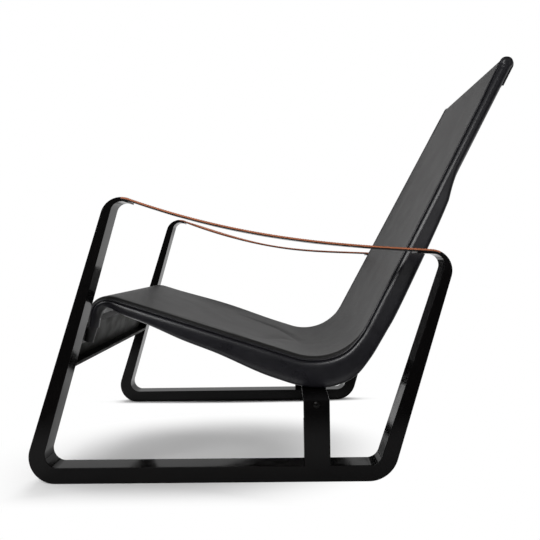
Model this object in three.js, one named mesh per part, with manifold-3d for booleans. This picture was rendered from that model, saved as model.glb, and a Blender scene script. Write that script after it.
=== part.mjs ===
// A low lounge chair: one leather panel slung on a bent tube frame, carried between two steel runners.
// Millimetres, +Z up. The sitter faces -X, so the chair's left side is -Y. It stands on Z = 0.

import * as THREE from 'three';
import { mergeVertices } from 'three/addons/utils/BufferGeometryUtils.js';
import Module from 'manifold-3d';

const wasm = await Module();
wasm.setup();

// Runners: flat loops of hollow sheet-steel band, open between the two post heads
const WIDTH = 685;
const BAND_WIDTH = 47;
const FOOT_LENGTH = 712;
const RAIL_HEIGHT = 31;
const RUNNER_SHEET = 2.5;
const FRONT_LEAN = 18;
const REAR_LEAN = 16.8;
const FRONT_POST_LENGTH = 587;
const REAR_POST_LENGTH = 454;
const POST_FOOT = 31.7;
const POST_HEAD = 16;
const FRONT_TOE_RADIUS = 51;
const REAR_TOE_RADIUS = 58;
const RAIL_INNER_RADIUS = 25;
const HEAD_RADIUS = 40;
const HEAD_INNER_RADIUS = 21;
const HEAD_SOLID = 75;
const FRONT_TONGUE = 44;
const REAR_TONGUE = 78;
const TONGUE = 3.2;
const VENT_RADIUS = 3;

// Arm straps: thick leather slung from head to head
const STRAP = 5;
const STRAP_SIDE_MARGIN = 0.6;
const ARM_FRONT_SLOPE = 20;
const ARM_REAR_SLOPE = 4;
const STRAP_REAR_WRAP = 24;
const STRAP_FRONT_REACH = 0.4;
const STRAP_REAR_REACH = 0.33;
const SCREW_RADIUS = 2.4;
const SCREW_HEAD_RADIUS = 4.6;
const SCREW_HEAD = 1.6;
const SCREW_SPACING = 24;
const FRONT_SCREW_INSET = 6;
const REAR_SCREW_INSET = 14;

// Seat frame: two side tubes, seen from the side as drop, front bend, seat, bend and back
const SEAT_CORNER_X = 137;
const SEAT_CORNER_Z = 349;
const SEAT_TILT = 18.2;
const SEAT_RUN = 530;
const BACK_RECLINE = 28.3;
const BACK_RUN = 730;
const FRONT_DROP = 93;
const FRONT_BEND_RADIUS = 32;
const BEND_RADIUS = 136;
const SEAT_HALF_WIDTH = 248;
const TOP_HALF_WIDTH = 206;
const TUBE_RADIUS = 10;
const TUBE_WALL = 2;

// Cheek plates under the side tubes, and the depth of the side below the crest of the panel, both by
// distance from the start of the seat
const CHEEK = 3;
const CHEEK_OFFSET = 6;
const CHEEK_FROM = 66;
const CHEEK_TO = 838;
const SIDE_DEPTHS = [
  [70, 35], [155, 44.5], [228, 49], [333, 61], [398, 63], [448, 66.5], [488, 62.5],
  [523, 50], [558, 42.5], [608, 44], [718, 42], [828, 38], [873, 35], [983, 24.8],
];

// Leather: panel, side covers and piping. Angles run from the crest, outward and down round the tube
const LEATHER = 1.8;
const LEATHER_GAP = 0.6;
const PIPING_RADIUS = 1.7;
const SEAM_MARGIN = 0.7;
const SEAM_SEAT_ANGLE = 66;
const SEAM_BACK_ANGLE = 24;
const SEAM_TOP_ANGLE = 20;
const SEAM_TOP_RUN = 110;
const SEAT_SIDE_PAD = 7.3;
const BACK_SIDE_PAD = 2.5;
const SEAT_ROLL_DROP = 12;
const BACK_ROLL_DROP = 2;
const ROLL_ANGLE = 52;
const COVER_HEM = 6;
const SHOULDER_ANGLE = 112;
const SLIM_WRAP = 250;
const HALF_WRAP = 200;
const UNWRAP_DEPTH = 3;
const DEEPEN_DEPTH = 7;
const COVER_DROP = 28;
const PANEL_SAG = 14;
const PANEL_BORDER = 16;
const TOP_HEM = 45;

// Front plate that the panel turns over
const FRONT_PLATE = 2.5;
const FRONT_PLATE_RUN = 20;
const FRONT_PLATE_DROP = 10;

// Apron: a folded channel between the front posts, and the brackets that hold the tubes to it
const APRON_SHEET = 3;
const APRON_INSET = 2;
const APRON_LOW = 225;
const APRON_HIGH = 300;
const APRON_LIP = 5;
const APRON_FLANGE_LIP = 8;
const BRACKET_LENGTH = 52;
const BRACKET_HEIGHT = 27;
const BRACKET_BOLT_SPACING = 14;
const BOLT_INSET = 26;

// Rear uprights on the rails, their folded arms, and the bar that the arms carry
const UPRIGHT_X = 572;
const UPRIGHT_WIDTH = 50;
const UPRIGHT_SHEET = 3;
const UPRIGHT_FLANGE = 18;
const UPRIGHT_TOP = 154.5;
const UPRIGHT_FLANGE_STOP = 37;
const ARM_SHEET = 4;
const ARM_LEG = 30;
const ARM_PAD = 44;
const ARM_STEP = 9;
const BAR_WIDTH = 38;
const BAR_HEIGHT = 18;
const BAR_WALL = 2;
const PAD_BOLT_SPACING = 20;

// Bolts
const BOLT_RADIUS = 4;
const BOLT_HEAD_RADIUS = 6.6;
const BOLT_HEAD = 3.6;
const CROWN_SHARE = 0.6;
const UPRIGHT_BOLT_DROP = 7;

// Clearances
const GAP = 0.3;
const HOLE_CLEARANCE = 0.4;

// Facets
const ARC_STEP = 12;
const FRONT_BEND_STEPS = 6;
const BEND_STEPS = 10;
const TOP_WRAP_STEPS = 6;
const SPAN_STEP = 70;
const EASING_STEPS = 8;
const STRAP_BEND_STEPS = 3;
const STRAP_SPAN_STEPS = 16;
const PANEL_COLUMNS = 10;
const BORDER_STEPS = 4;
const COVER_ARC_STEPS = 4;
const PIPING_SIDES = 6;
const TUBE_SIDES = 10;
const BOLT_SIDES = 10;

const { degToRad, radToDeg, clamp, lerp, inverseLerp, smoothstep } = THREE.MathUtils;
const LEFT = -1;
const RIGHT = 1;
const sideName = (side) => (side === LEFT ? 'left' : 'right');

// Finishes
const gloss = new THREE.MeshStandardMaterial({ color: 0x17161a, roughness: 0.22, metalness: 0.3 });
const innerSteel = new THREE.MeshStandardMaterial({ color: 0x202022, roughness: 0.45, metalness: 0.6 });
const zincSteel = new THREE.MeshStandardMaterial({ color: 0x2b2b2d, roughness: 0.35, metalness: 0.8 });
const charcoal = new THREE.MeshStandardMaterial({ color: 0x3a3a3c, roughness: 0.5, metalness: 0 });
const navyBlack = new THREE.MeshStandardMaterial({ color: 0x1e1f27, roughness: 0.5, metalness: 0 });
const tan = new THREE.MeshStandardMaterial({ color: 0x9a4f30, roughness: 0.55, metalness: 0 });

const chair = new THREE.Group();

function addPiece(name, geometry, material) {
  const piece = new THREE.Mesh(geometry, material);
  piece.name = name;
  chair.add(piece);
  return piece;
}

// Solids: joins and cuts on closed meshes

function toSolid(geometry) {
  const bare = geometry.clone();
  bare.deleteAttribute('normal');
  bare.deleteAttribute('uv');
  const merged = mergeVertices(bare, 1e-3);
  return new wasm.Manifold(new wasm.Mesh({
    numProp: 3,
    vertProperties: new Float32Array(merged.attributes.position.array),
    triVerts: new Uint32Array(merged.index.array),
  }));
}

function toGeometry(solid) {
  const mesh = solid.getMesh();
  const geometry = new THREE.BufferGeometry();
  geometry.setAttribute('position', new THREE.BufferAttribute(mesh.vertProperties, 3));
  geometry.setIndex(new THREE.BufferAttribute(mesh.triVerts, 1));
  return geometry;
}

function cut(geometry, ...tools) {
  const remaining = tools.reduce((solid, tool) => solid.subtract(toSolid(tool)), toSolid(geometry));
  return toGeometry(remaining);
}

// Side view: points with x to the rear and y up, and directed edges with the material on their left

const point = (x, y) => new THREE.Vector2(x, y);
const heading = (degrees) => point(Math.cos(degToRad(degrees)), Math.sin(degToRad(degrees)));
const leftOf = (direction) => point(-direction.y, direction.x);
const along = (start, direction, distance) => start.clone().addScaledVector(direction, distance);
const edge = (start, degrees) => ({ start, direction: heading(degrees) });
const edgeThrough = (start, end) => ({ start, direction: end.clone().sub(start).normalize() });
const shifted = (line, distance) => ({
  start: along(line.start, leftOf(line.direction), distance),
  direction: line.direction,
});
const turned = (line) => ({ start: line.start, direction: line.direction.clone().negate() });

function meet(a, b) {
  const reach = b.start.clone().sub(a.start).cross(b.direction) / a.direction.cross(b.direction);
  return along(a.start, a.direction, reach);
}

// Even steps from one value towards another, without the last
function spread(from, to, steps) {
  return Array.from({ length: steps }, (_, i) => lerp(from, to, i / steps));
}

// The arc of a given radius that rounds the corner from edge a to edge b
function rounding(a, b, radius) {
  const corner = meet(a, b);
  const sweep = Math.atan2(a.direction.cross(b.direction), a.direction.dot(b.direction));
  const reach = radius * Math.tan(Math.abs(sweep) / 2);
  const from = along(corner, a.direction, -reach);
  const center = along(from, leftOf(a.direction), radius * Math.sign(sweep));
  const startAngle = Math.atan2(from.y - center.y, from.x - center.x);
  return { center, radius, sweep, startAngle, from, to: along(corner, b.direction, reach) };
}

function pointOnArc(arc, share) {
  const angle = arc.startAngle + arc.sweep * share;
  return point(arc.center.x + arc.radius * Math.cos(angle), arc.center.y + arc.radius * Math.sin(angle));
}

function arcPoints(arc) {
  const steps = Math.ceil(Math.abs(arc.sweep) / degToRad(ARC_STEP));
  return Array.from({ length: steps + 1 }, (_, i) => pointOnArc(arc, i / steps));
}

// A closed outline from edges in order, each with the radius of the corner at its end
function outline(sides) {
  return sides.flatMap(({ line, radius }, i) => {
    const next = sides[(i + 1) % sides.length].line;
    return radius > 0 ? arcPoints(rounding(line, next, radius)) : [meet(line, next)];
  });
}

// A strip of sheet whose left face follows the given points
function strip(points, thickness) {
  const lines = points.slice(1).map((end, i) => edgeThrough(points[i], end));
  const back = lines.map((line) => shifted(line, -thickness));
  const corners = back.slice(1).map((line, i) => meet(back[i], line));
  const last = lines.length - 1;
  const tail = along(points[last + 1], leftOf(lines[last].direction), -thickness);
  return [...points, tail, ...corners.reverse(), back[0].start];
}

// An outline in the side view, carried across the chair from y0 to y1
function extrudeAcross(points, y0, y1, hole) {
  const shape = new THREE.Shape(points);
  if (hole) shape.holes.push(new THREE.Path(hole));
  const geometry = new THREE.ExtrudeGeometry(shape, { depth: y1 - y0, bevelEnabled: false });
  geometry.rotateX(Math.PI / 2);
  geometry.translate(0, y1, 0);
  return geometry;
}

function acrossSide(points, side, near, far) {
  const [y0, y1] = side === LEFT ? [-far, -near] : [near, far];
  return extrudeAcross(points, y0, y1);
}

function circle(center, radius, sides) {
  return Array.from({ length: sides }, (_, i) => along(center, heading((360 * (i + 0.5)) / sides), radius));
}

// A round pin from a start point along a direction, used for holes
function pin(start, direction, radius, length) {
  const geometry = new THREE.CylinderGeometry(radius, radius, length, BOLT_SIDES);
  geometry.translate(0, length / 2, 0);
  const turn = new THREE.Quaternion().setFromUnitVectors(new THREE.Vector3(0, 1, 0), direction);
  geometry.applyQuaternion(turn);
  geometry.translate(start.x, start.y, start.z);
  return geometry;
}

// A button-headed fastener along +Y, with the underside of the head at the origin and the shank below it
function buttonFastener(radius, headRadius, head, length) {
  const crown = headRadius * CROWN_SHARE;
  const profile = [
    [0, -length], [radius, -length], [radius, 0], [headRadius, 0],
    [headRadius, head / 2], [crown, head], [0, head],
  ];
  return new THREE.LatheGeometry(profile.map(([x, y]) => new THREE.Vector2(x, y)), BOLT_SIDES);
}

const screwGeometry = (length) => buttonFastener(SCREW_RADIUS, SCREW_HEAD_RADIUS, SCREW_HEAD, length);
const boltGeometry = (length) => buttonFastener(BOLT_RADIUS, BOLT_HEAD_RADIUS, BOLT_HEAD, length);

function addFastener(name, geometry, position, direction, material = zincSteel) {
  const piece = addPiece(name, geometry, material);
  piece.position.copy(position);
  piece.quaternion.setFromUnitVectors(new THREE.Vector3(0, 1, 0), direction);
  return piece;
}

// Runner outline

const frontOuterUp = edge(point(0, 0), 90 - FRONT_LEAN);
const rearOuterUp = edge(point(FOOT_LENGTH, 0), 90 - REAR_LEAN);
const frontHead = along(frontOuterUp.start, frontOuterUp.direction, FRONT_POST_LENGTH);
const rearHead = along(rearOuterUp.start, rearOuterUp.direction, REAR_POST_LENGTH);
const frontDepth = leftOf(frontOuterUp.direction).negate();
const rearDepth = leftOf(rearOuterUp.direction);

const floor = edge(point(0, 0), 0);
const railTop = edge(point(0, RAIL_HEIGHT), 180);
const frontInner = edgeThrough(
  along(frontOuterUp.start, frontDepth, POST_FOOT), along(frontHead, frontDepth, POST_HEAD),
);
const rearInner = edgeThrough(
  along(rearHead, rearDepth, POST_HEAD), along(rearOuterUp.start, rearDepth, POST_FOOT),
);
const frontBed = edge(frontHead, 180 - ARM_FRONT_SLOPE);
const rearBed = edge(rearHead, 180 - ARM_REAR_SLOPE);
const frontTip = edge(along(frontHead, frontBed.direction, -FRONT_TONGUE), 90 - ARM_FRONT_SLOPE);
const rearTip = edge(along(rearHead, rearBed.direction, REAR_TONGUE), 270 - ARM_REAR_SLOPE);
const headWall = STRAP + GAP + TONGUE;
const frontUnder = turned(shifted(frontBed, headWall));
const rearUnder = turned(shifted(rearBed, headWall));

const runnerOutline = outline([
  { line: floor, radius: REAR_TOE_RADIUS },
  { line: rearOuterUp, radius: HEAD_RADIUS },
  { line: rearBed, radius: 0 },
  { line: rearTip, radius: 0 },
  { line: rearUnder, radius: HEAD_INNER_RADIUS },
  { line: rearInner, radius: RAIL_INNER_RADIUS },
  { line: railTop, radius: RAIL_INNER_RADIUS },
  { line: frontInner, radius: HEAD_INNER_RADIUS },
  { line: frontUnder, radius: 0 },
  { line: frontTip, radius: 0 },
  { line: frontBed, radius: HEAD_RADIUS },
  { line: turned(frontOuterUp), radius: FRONT_TOE_RADIUS },
]);

// The hollow inside the band stops short of the solid heads
const inside = (line) => shifted(line, RUNNER_SHEET);
const frontPlug = edge(along(frontHead, frontOuterUp.direction, -HEAD_SOLID), 180 - FRONT_LEAN);
const rearPlug = edge(along(rearHead, rearOuterUp.direction, -HEAD_SOLID), 180 - REAR_LEAN);
const runnerHollow = outline([
  { line: inside(floor), radius: REAR_TOE_RADIUS - RUNNER_SHEET },
  { line: inside(rearOuterUp), radius: 0 },
  { line: rearPlug, radius: 0 },
  { line: inside(rearInner), radius: RAIL_INNER_RADIUS + RUNNER_SHEET },
  { line: inside(railTop), radius: RAIL_INNER_RADIUS + RUNNER_SHEET },
  { line: inside(frontInner), radius: 0 },
  { line: frontPlug, radius: 0 },
  { line: inside(turned(frontOuterUp)), radius: FRONT_TOE_RADIUS - RUNNER_SHEET },
]);

// Strap: over the front head from its crest, in a slack curve to the rear, and round the rear head

const frontHeadArc = rounding(frontBed, turned(frontOuterUp), HEAD_RADIUS);
const rearHeadArc = rounding(rearOuterUp, rearBed, HEAD_RADIUS);

function strapCurve() {
  const crestShare = degToRad(ARM_FRONT_SLOPE) / frontHeadArc.sweep;
  const wrapShare = degToRad(STRAP_REAR_WRAP) / rearHeadArc.sweep;
  const overFront = spread(crestShare, 0, STRAP_BEND_STEPS).map((share) => pointOnArc(frontHeadArc, share));
  const wrapEnd = 1 - wrapShare;
  const roundRear = [...spread(1, wrapEnd, STRAP_BEND_STEPS), wrapEnd].map((share) => (
    pointOnArc(rearHeadArc, share)
  ));
  const start = frontHeadArc.from;
  const end = rearHeadArc.to;
  const span = end.x - start.x;
  const handle = (from, share, slope) => along(from, point(1, -Math.tan(degToRad(slope))), share * span);
  const slack = new THREE.CubicBezierCurve(
    start,
    handle(start, STRAP_FRONT_REACH, ARM_FRONT_SLOPE),
    handle(end, -STRAP_REAR_REACH, ARM_REAR_SLOPE),
    end,
  );
  return [...overFront, ...slack.getPoints(STRAP_SPAN_STEPS).slice(0, -1), ...roundRear];
}

const strapTop = strapCurve();
const strapOutline = strip(strapTop, STRAP);

// The bed cut into the heads is the strap's own strip with a clearance below and at both ends
function strapBed() {
  const first = edgeThrough(strapTop[1], strapTop[0]);
  const last = edgeThrough(strapTop[strapTop.length - 2], strapTop[strapTop.length - 1]);
  const front = along(strapTop[0], first.direction, GAP);
  const rear = along(strapTop[strapTop.length - 1], last.direction, GAP);
  const path = [front, ...strapTop.slice(1, -1), rear];
  const proud = strip(path, -STRAP).slice(path.length).reverse();
  return strip(proud, 2 * STRAP + GAP);
}

const strapBedOutline = strapBed();

// Screws stand square to the strap, two at each end
const spotAlong = (start, direction, distance) => ({
  spot: along(start, direction, distance),
  up: leftOf(direction).multiplyScalar(Math.sign(leftOf(direction).y)),
});
const strapScrews = [
  { end: 'front', ...spotAlong(frontTip.start, frontBed.direction, FRONT_SCREW_INSET) },
  { end: 'rear', ...spotAlong(rearHeadArc.to, rearBed.direction, REAR_SCREW_INSET) },
];
const screwLength = STRAP + GAP + TONGUE + SCREW_HEAD;
const bandMiddle = (WIDTH - BAND_WIDTH) / 2;

function strapScrewPlaces(side) {
  return strapScrews.flatMap(({ end, spot, up }) => [-1, 1].map((half) => ({
    name: `${sideName(side)}_strap_${end}_screw_${half < 0 ? 'inner' : 'outer'}`,
    position: new THREE.Vector3(spot.x, side * (bandMiddle + (half * SCREW_SPACING) / 2), spot.y),
    direction: new THREE.Vector3(up.x, 0, up.y),
  })));
}

function screwHole({ position, direction }) {
  const start = position.clone().addScaledVector(direction, -2 * screwLength);
  return pin(start, direction, SCREW_RADIUS + HOLE_CLEARANCE, 4 * screwLength);
}

function addRunner(side) {
  const outer = WIDTH / 2;
  const inner = outer - BAND_WIDTH;
  const band = acrossSide(runnerOutline, side, inner, outer);
  const hollow = acrossSide(runnerHollow, side, inner + RUNNER_SHEET, outer - RUNNER_SHEET);
  const bed = acrossSide(strapBedOutline, side, inner - STRAP, outer + STRAP);
  const ventFoot = new THREE.Vector3(FOOT_LENGTH / 2, side * bandMiddle, -RUNNER_SHEET);
  const vent = pin(ventFoot, new THREE.Vector3(0, 0, 1), VENT_RADIUS, 3 * RUNNER_SHEET);
  const places = strapScrewPlaces(side);
  addPiece(`${sideName(side)}_runner`, cut(band, hollow, vent, bed, ...places.map(screwHole)), gloss);

  const strap = acrossSide(strapOutline, side, inner + STRAP_SIDE_MARGIN, outer - STRAP_SIDE_MARGIN);
  addPiece(`${sideName(side)}_arm_strap`, cut(strap, ...places.map(screwHole)), tan);
  for (const { name, position, direction } of places) {
    addFastener(name, screwGeometry(screwLength), position.addScaledVector(direction, GAP), direction);
  }
}

// Seat profile: the line of the side tubes' middles, by distance from the lower end of the drop

const drop = edge(point(SEAT_CORNER_X, SEAT_CORNER_Z), 90 - FRONT_LEAN);
const seat = edge(drop.start, -SEAT_TILT);
const back = edge(along(seat.start, seat.direction, SEAT_RUN), 90 - BACK_RECLINE);
const top = along(back.start, back.direction, BACK_RUN);
const dropEnd = along(drop.start, drop.direction, -FRONT_DROP);
const frontBend = rounding(drop, seat, FRONT_BEND_RADIUS);
const bend = rounding(seat, back, BEND_RADIUS);

const arcLength = (arc) => Math.abs(arc.sweep) * arc.radius;
const frontBendStart = dropEnd.distanceTo(frontBend.from);
const seatStart = frontBendStart + arcLength(frontBend);
const bendStart = seatStart + frontBend.to.distanceTo(bend.from);
const bendEnd = bendStart + arcLength(bend);
const profileEnd = bendEnd + bend.to.distanceTo(top);

function station(distance) {
  const onLine = (start, direction, reach) => ({
    distance, center: along(start, direction, reach), normal: leftOf(direction),
  });
  const onArc = (arc, reach) => {
    const center = pointOnArc(arc, reach / arcLength(arc));
    const outward = center.clone().sub(arc.center).normalize();
    return { distance, center, normal: outward.multiplyScalar(-Math.sign(arc.sweep)) };
  };
  if (distance < frontBendStart) return onLine(dropEnd, drop.direction, distance);
  if (distance < seatStart) return onArc(frontBend, distance - frontBendStart);
  if (distance < bendStart) return onLine(frontBend.to, seat.direction, distance - seatStart);
  if (distance < bendEnd) return onArc(bend, distance - bendStart);
  return onLine(bend.to, back.direction, distance - bendEnd);
}

// The back narrows evenly from the bend to the top
function halfWidth(distance) {
  const share = clamp((distance - bendEnd) / (profileEnd - bendEnd), 0, 1);
  return lerp(SEAT_HALF_WIDTH, TOP_HALF_WIDTH, share);
}

// Distances along the profile between two limits, close together in the bends
function stops(from, to, spanStep = Infinity, extra = []) {
  const spans = (a, b) => Math.max(1, Math.ceil((b - a) / spanStep));
  const all = [
    ...spread(0, frontBendStart, 1),
    ...spread(frontBendStart, seatStart, FRONT_BEND_STEPS),
    ...spread(seatStart, bendStart, spans(seatStart, bendStart)),
    ...spread(bendStart, bendEnd, BEND_STEPS),
    ...spread(bendEnd, profileEnd, spans(bendEnd, profileEnd)),
    ...extra,
  ];
  const nearest = 2;
  const between = all.filter((distance) => distance > from + nearest && distance < to - nearest);
  const ordered = [from, ...between.sort((a, b) => a - b), to];
  return ordered.filter((distance, i) => i === 0 || distance - ordered[i - 1] > nearest);
}

// A point beside the tube's middle: outward from the chair's centre, and square to the profile
function beside({ center, normal, distance }, side, outward, raised) {
  return new THREE.Vector3(
    center.x + normal.x * raised,
    side * (halfWidth(distance) + outward),
    center.y + normal.y * raised,
  );
}

// A closed skin over rings of points, with flat ends
function loft(rings, firstSection, lastSection) {
  const size = rings[0].length;
  const position = rings.flat().flatMap(({ x, y, z }) => [x, y, z]);
  const index = [];
  for (let i = 0; i + 1 < rings.length; i += 1) {
    for (let j = 0; j < size; j += 1) {
      const a = i * size + j;
      const b = i * size + ((j + 1) % size);
      index.push(a, b, b + size, a, b + size, a + size);
    }
  }
  const turn = (section) => Math.sign(THREE.ShapeUtils.area(section));
  const faces = (section) => THREE.ShapeUtils.triangulateShape(section, []).map(([a, b, c]) => {
    const face = [section[a], section[b], section[c]];
    return turn(face) === turn(section) ? [a, b, c] : [a, c, b];
  });
  const last = (rings.length - 1) * size;
  for (const [a, b, c] of faces(firstSection)) index.push(a, c, b);
  for (const [a, b, c] of faces(lastSection)) index.push(last + a, last + b, last + c);

  const geometry = new THREE.BufferGeometry();
  geometry.setAttribute('position', new THREE.Float32BufferAttribute(position, 3));
  geometry.setIndex(index);
  return facedOut(geometry);
}

function facedOut(geometry) {
  const corners = geometry.attributes.position;
  const index = geometry.index.array;
  const [a, b, c] = [new THREE.Vector3(), new THREE.Vector3(), new THREE.Vector3()];
  let volume = 0;
  for (let i = 0; i < index.length; i += 3) {
    a.fromBufferAttribute(corners, index[i]);
    b.fromBufferAttribute(corners, index[i + 1]);
    c.fromBufferAttribute(corners, index[i + 2]);
    volume += a.dot(b.cross(c));
  }
  if (volume < 0) {
    for (let i = 0; i < index.length; i += 3) [index[i + 1], index[i + 2]] = [index[i + 2], index[i + 1]];
  }
  return geometry;
}

// A loft along the profile, from a section drawn in outward and raised distances
function loftAlong(distances, side, sectionAt) {
  const stations = distances.map(station);
  const sections = stations.map(sectionAt);
  const rings = stations.map((stop, i) => sections[i].map(({ x, y }) => beside(stop, side, x, y)));
  return loft(rings, sections[0], sections[sections.length - 1]);
}

// Depth of the side below the crest, from tube only at the front and upper back to deep at the bend

const LEATHER_INNER = TUBE_RADIUS + LEATHER_GAP;
const LEATHER_OUTER = LEATHER_INNER + LEATHER;
const slimDepth = 2 * LEATHER_OUTER;
const depthStops = [
  [0, slimDepth],
  [seatStart, slimDepth],
  ...SIDE_DEPTHS.map(([reach, depth]) => [seatStart + reach, depth]),
  [profileEnd, slimDepth],
];
const depthCurve = new THREE.CubicInterpolant(
  depthStops.map(([distance]) => distance), depthStops.map(([, depth]) => depth), 1,
);
const sideDepth = (distance) => Math.max(slimDepth, depthCurve.evaluate(distance)[0]);

// Seam between panel and side cover: on the tube's outer shoulder along the seat, near its crest up the back

const seamGap = Math.asin((PIPING_RADIUS + SEAM_MARGIN) / LEATHER_OUTER);
const seamStops = [
  [(bendStart + bendEnd) / 2, SEAM_SEAT_ANGLE],
  [bendEnd, SEAM_BACK_ANGLE],
  [profileEnd - SEAM_TOP_RUN, SEAM_TOP_ANGLE],
  [profileEnd - LEATHER_OUTER - GAP, 0],
];

function seamAngle({ distance, wrap }) {
  const next = seamStops.findIndex(([stop]) => distance < stop);
  if (wrap || next < 0) return 0;
  if (next === 0) return degToRad(SEAM_SEAT_ANGLE);
  const [[from, first], [to, last]] = [seamStops[next - 1], seamStops[next]];
  return degToRad(lerp(first, last, smoothstep(distance, from, to)));
}

// Cover section: from the seam over the padded roll and the outer side, round the lower edge, to a hem on the
// inner side. Where the side is slim the cover wraps the tube; it unwraps first and then deepens.

const deepHalf = CHEEK / 2 + LEATHER_GAP + LEATHER;
const cheekBase = (depth) => -(depth - LEATHER_OUTER - deepHalf);

function coverLine(stop, inset) {
  const depth = sideDepth(stop.distance);
  const radius = LEATHER_OUTER - inset;
  const half = deepHalf - inset;
  const base = cheekBase(depth);
  const onTube = (angle) => point(radius * Math.sin(angle), radius * Math.cos(angle));
  const from = seamAngle(stop) + seamGap;
  const start = onTube(from);
  const padding = clamp(inverseLerp(SEAM_BACK_ANGLE, SEAM_SEAT_ANGLE, radToDeg(seamAngle(stop))), 0, 1);
  const face = CHEEK_OFFSET + half + lerp(BACK_SIDE_PAD, SEAT_SIDE_PAD, padding);
  const bulge = point(face, start.y - (face - start.x) / Math.tan(degToRad(ROLL_ANGLE)));
  const rollEnd = point(face, -lerp(BACK_ROLL_DROP, SEAT_ROLL_DROP, padding));
  const roll = new THREE.QuadraticBezierCurve(start, bulge, rollEnd);
  const deep = [
    rollEnd,
    point(face, (rollEnd.y + base) / 2),
    point(face, base),
    point(CHEEK_OFFSET, base - half),
    point(CHEEK_OFFSET - half, base),
    point(CHEEK_OFFSET - half, Math.min(base + COVER_HEM, -LEATHER_INNER)),
  ];
  const unwrapped = clamp((depth - slimDepth) / UNWRAP_DEPTH, 0, 1);
  const deepened = clamp((depth - slimDepth - UNWRAP_DEPTH) / DEEPEN_DEPTH, 0, 1);
  const wrap = lerp(SLIM_WRAP, HALF_WRAP, unwrapped);
  const shoulder = spread(0, 1, COVER_ARC_STEPS).map((share) => (
    onTube(lerp(from, Math.PI / 2, share)).lerp(roll.getPoint(share), deepened)
  ));
  const lower = deep.map((spot, i) => (
    onTube(degToRad(lerp(SHOULDER_ANGLE, wrap, i / (deep.length - 1)))).lerp(spot, deepened)
  ));
  return [...shoulder, ...lower];
}

function coverSection(stop) {
  return [...coverLine(stop, 0), ...coverLine(stop, LEATHER).reverse()];
}

function tubeSection() {
  return circle(point(0, 0), TUBE_RADIUS, TUBE_SIDES);
}

function boreSection() {
  return circle(point(0, 0), TUBE_RADIUS - TUBE_WALL, TUBE_SIDES);
}

function cheekSection({ distance }) {
  const [inner, outer] = [CHEEK_OFFSET - CHEEK / 2, CHEEK_OFFSET + CHEEK / 2];
  const high = -Math.sqrt(TUBE_RADIUS ** 2 - inner ** 2) - GAP;
  const low = cheekBase(sideDepth(distance));
  return [point(inner, high), point(outer, high), point(outer, low), point(inner, low)];
}

// Close stops where the cover changes between wrapping the tube and hanging over the cheek, and where the
// seam runs in to the top corner
const topEasing = spread(profileEnd - SEAM_TOP_RUN, profileEnd, EASING_STEPS);
const coverEasing = [
  ...spread(seatStart, seatStart + CHEEK_FROM, EASING_STEPS),
  seatStart + CHEEK_FROM,
  ...spread(seatStart + CHEEK_TO, seatStart + SIDE_DEPTHS[SIDE_DEPTHS.length - 1][0], EASING_STEPS),
  ...topEasing,
];
const tubeTop = profileEnd - TUBE_RADIUS - GAP;
const coverFrom = frontBendStart - COVER_DROP;
const coverTo = profileEnd - LEATHER_OUTER - GAP;

function addSideMember(side) {
  const name = sideName(side);
  const tubeStops = stops(0, tubeTop);
  const boreStops = [-TUBE_WALL, ...tubeStops.slice(1, -1), tubeTop + TUBE_WALL];
  const tube = loftAlong(tubeStops, side, tubeSection);
  const bore = loftAlong(boreStops, side, boreSection);
  addPiece(`${name}_side_tube`, cut(tube, bore), innerSteel);

  const cheekStops = stops(seatStart + CHEEK_FROM, seatStart + CHEEK_TO, SPAN_STEP, coverEasing);
  addPiece(`${name}_cheek_plate`, loftAlong(cheekStops, side, cheekSection), innerSteel);
  const coverStops = stops(coverFrom, coverTo, SPAN_STEP, coverEasing);
  addPiece(`${name}_side_cover`, loftAlong(coverStops, side, coverSection), navyBlack);
}

// Stations over the top tube and down the rear face, after the profile's own end
function topWrap() {
  const end = station(profileEnd);
  const over = Array.from({ length: TOP_WRAP_STEPS }, (_, i) => {
    const angle = (Math.PI * (i + 1)) / TOP_WRAP_STEPS;
    const normal = end.normal.clone().multiplyScalar(Math.cos(angle));
    normal.addScaledVector(back.direction, Math.sin(angle));
    return { ...end, normal, wrap: (i + 1) / TOP_WRAP_STEPS };
  });
  const hem = station(profileEnd - TOP_HEM);
  return [...over, { ...hem, normal: hem.normal.negate(), wrap: 1 }];
}

// On the rear face the panel lies outside the side covers
const rearLayer = LEATHER + GAP;
const wrapRise = ({ wrap = 0 }) => wrap * rearLayer;

function panelSag({ distance, wrap }) {
  if (wrap) return 0;
  const from = seatStart + FRONT_PLATE_RUN;
  const share = clamp((distance - from) / (profileEnd - from), 0, 1);
  return PANEL_SAG * Math.sin(Math.PI * share);
}

// One face of the panel's section: slack between the tubes, with both borders turned over them to the seams
function panelFace(stop, radius) {
  const half = halfWidth(stop.distance);
  const reach = half + LEATHER_OUTER * (seamAngle(stop) - seamGap);
  const border = spread(reach, reach - PANEL_BORDER, BORDER_STEPS);
  const middle = spread(PANEL_BORDER - reach, reach - PANEL_BORDER, PANEL_COLUMNS);
  const places = [...border.map((place) => -place), ...middle, reach - PANEL_BORDER, ...border.reverse()];
  return places.map((place) => {
    const flat = clamp(place, -half, half);
    const angle = (place - flat) / LEATHER_OUTER;
    const hang = panelSag(stop) * (1 - (flat / half) ** 2);
    return point(flat + radius * Math.sin(angle), radius * Math.cos(angle) + wrapRise(stop) - hang);
  });
}

function addPanel() {
  const easing = [seatStart + FRONT_PLATE_RUN, ...topEasing];
  const stations = [...stops(coverFrom, profileEnd, SPAN_STEP, easing).map(station), ...topWrap()];
  const sections = stations.map((stop) => (
    [...panelFace(stop, LEATHER_INNER), ...panelFace(stop, LEATHER_OUTER).reverse()]
  ));
  const rings = stations.map(({ center, normal }, i) => sections[i].map(({ x, y }) => (
    new THREE.Vector3(center.x + normal.x * y, x, center.y + normal.y * y)
  )));
  addPiece('seat_panel', loft(rings, sections[0], sections[sections.length - 1]), charcoal);
}

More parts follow.
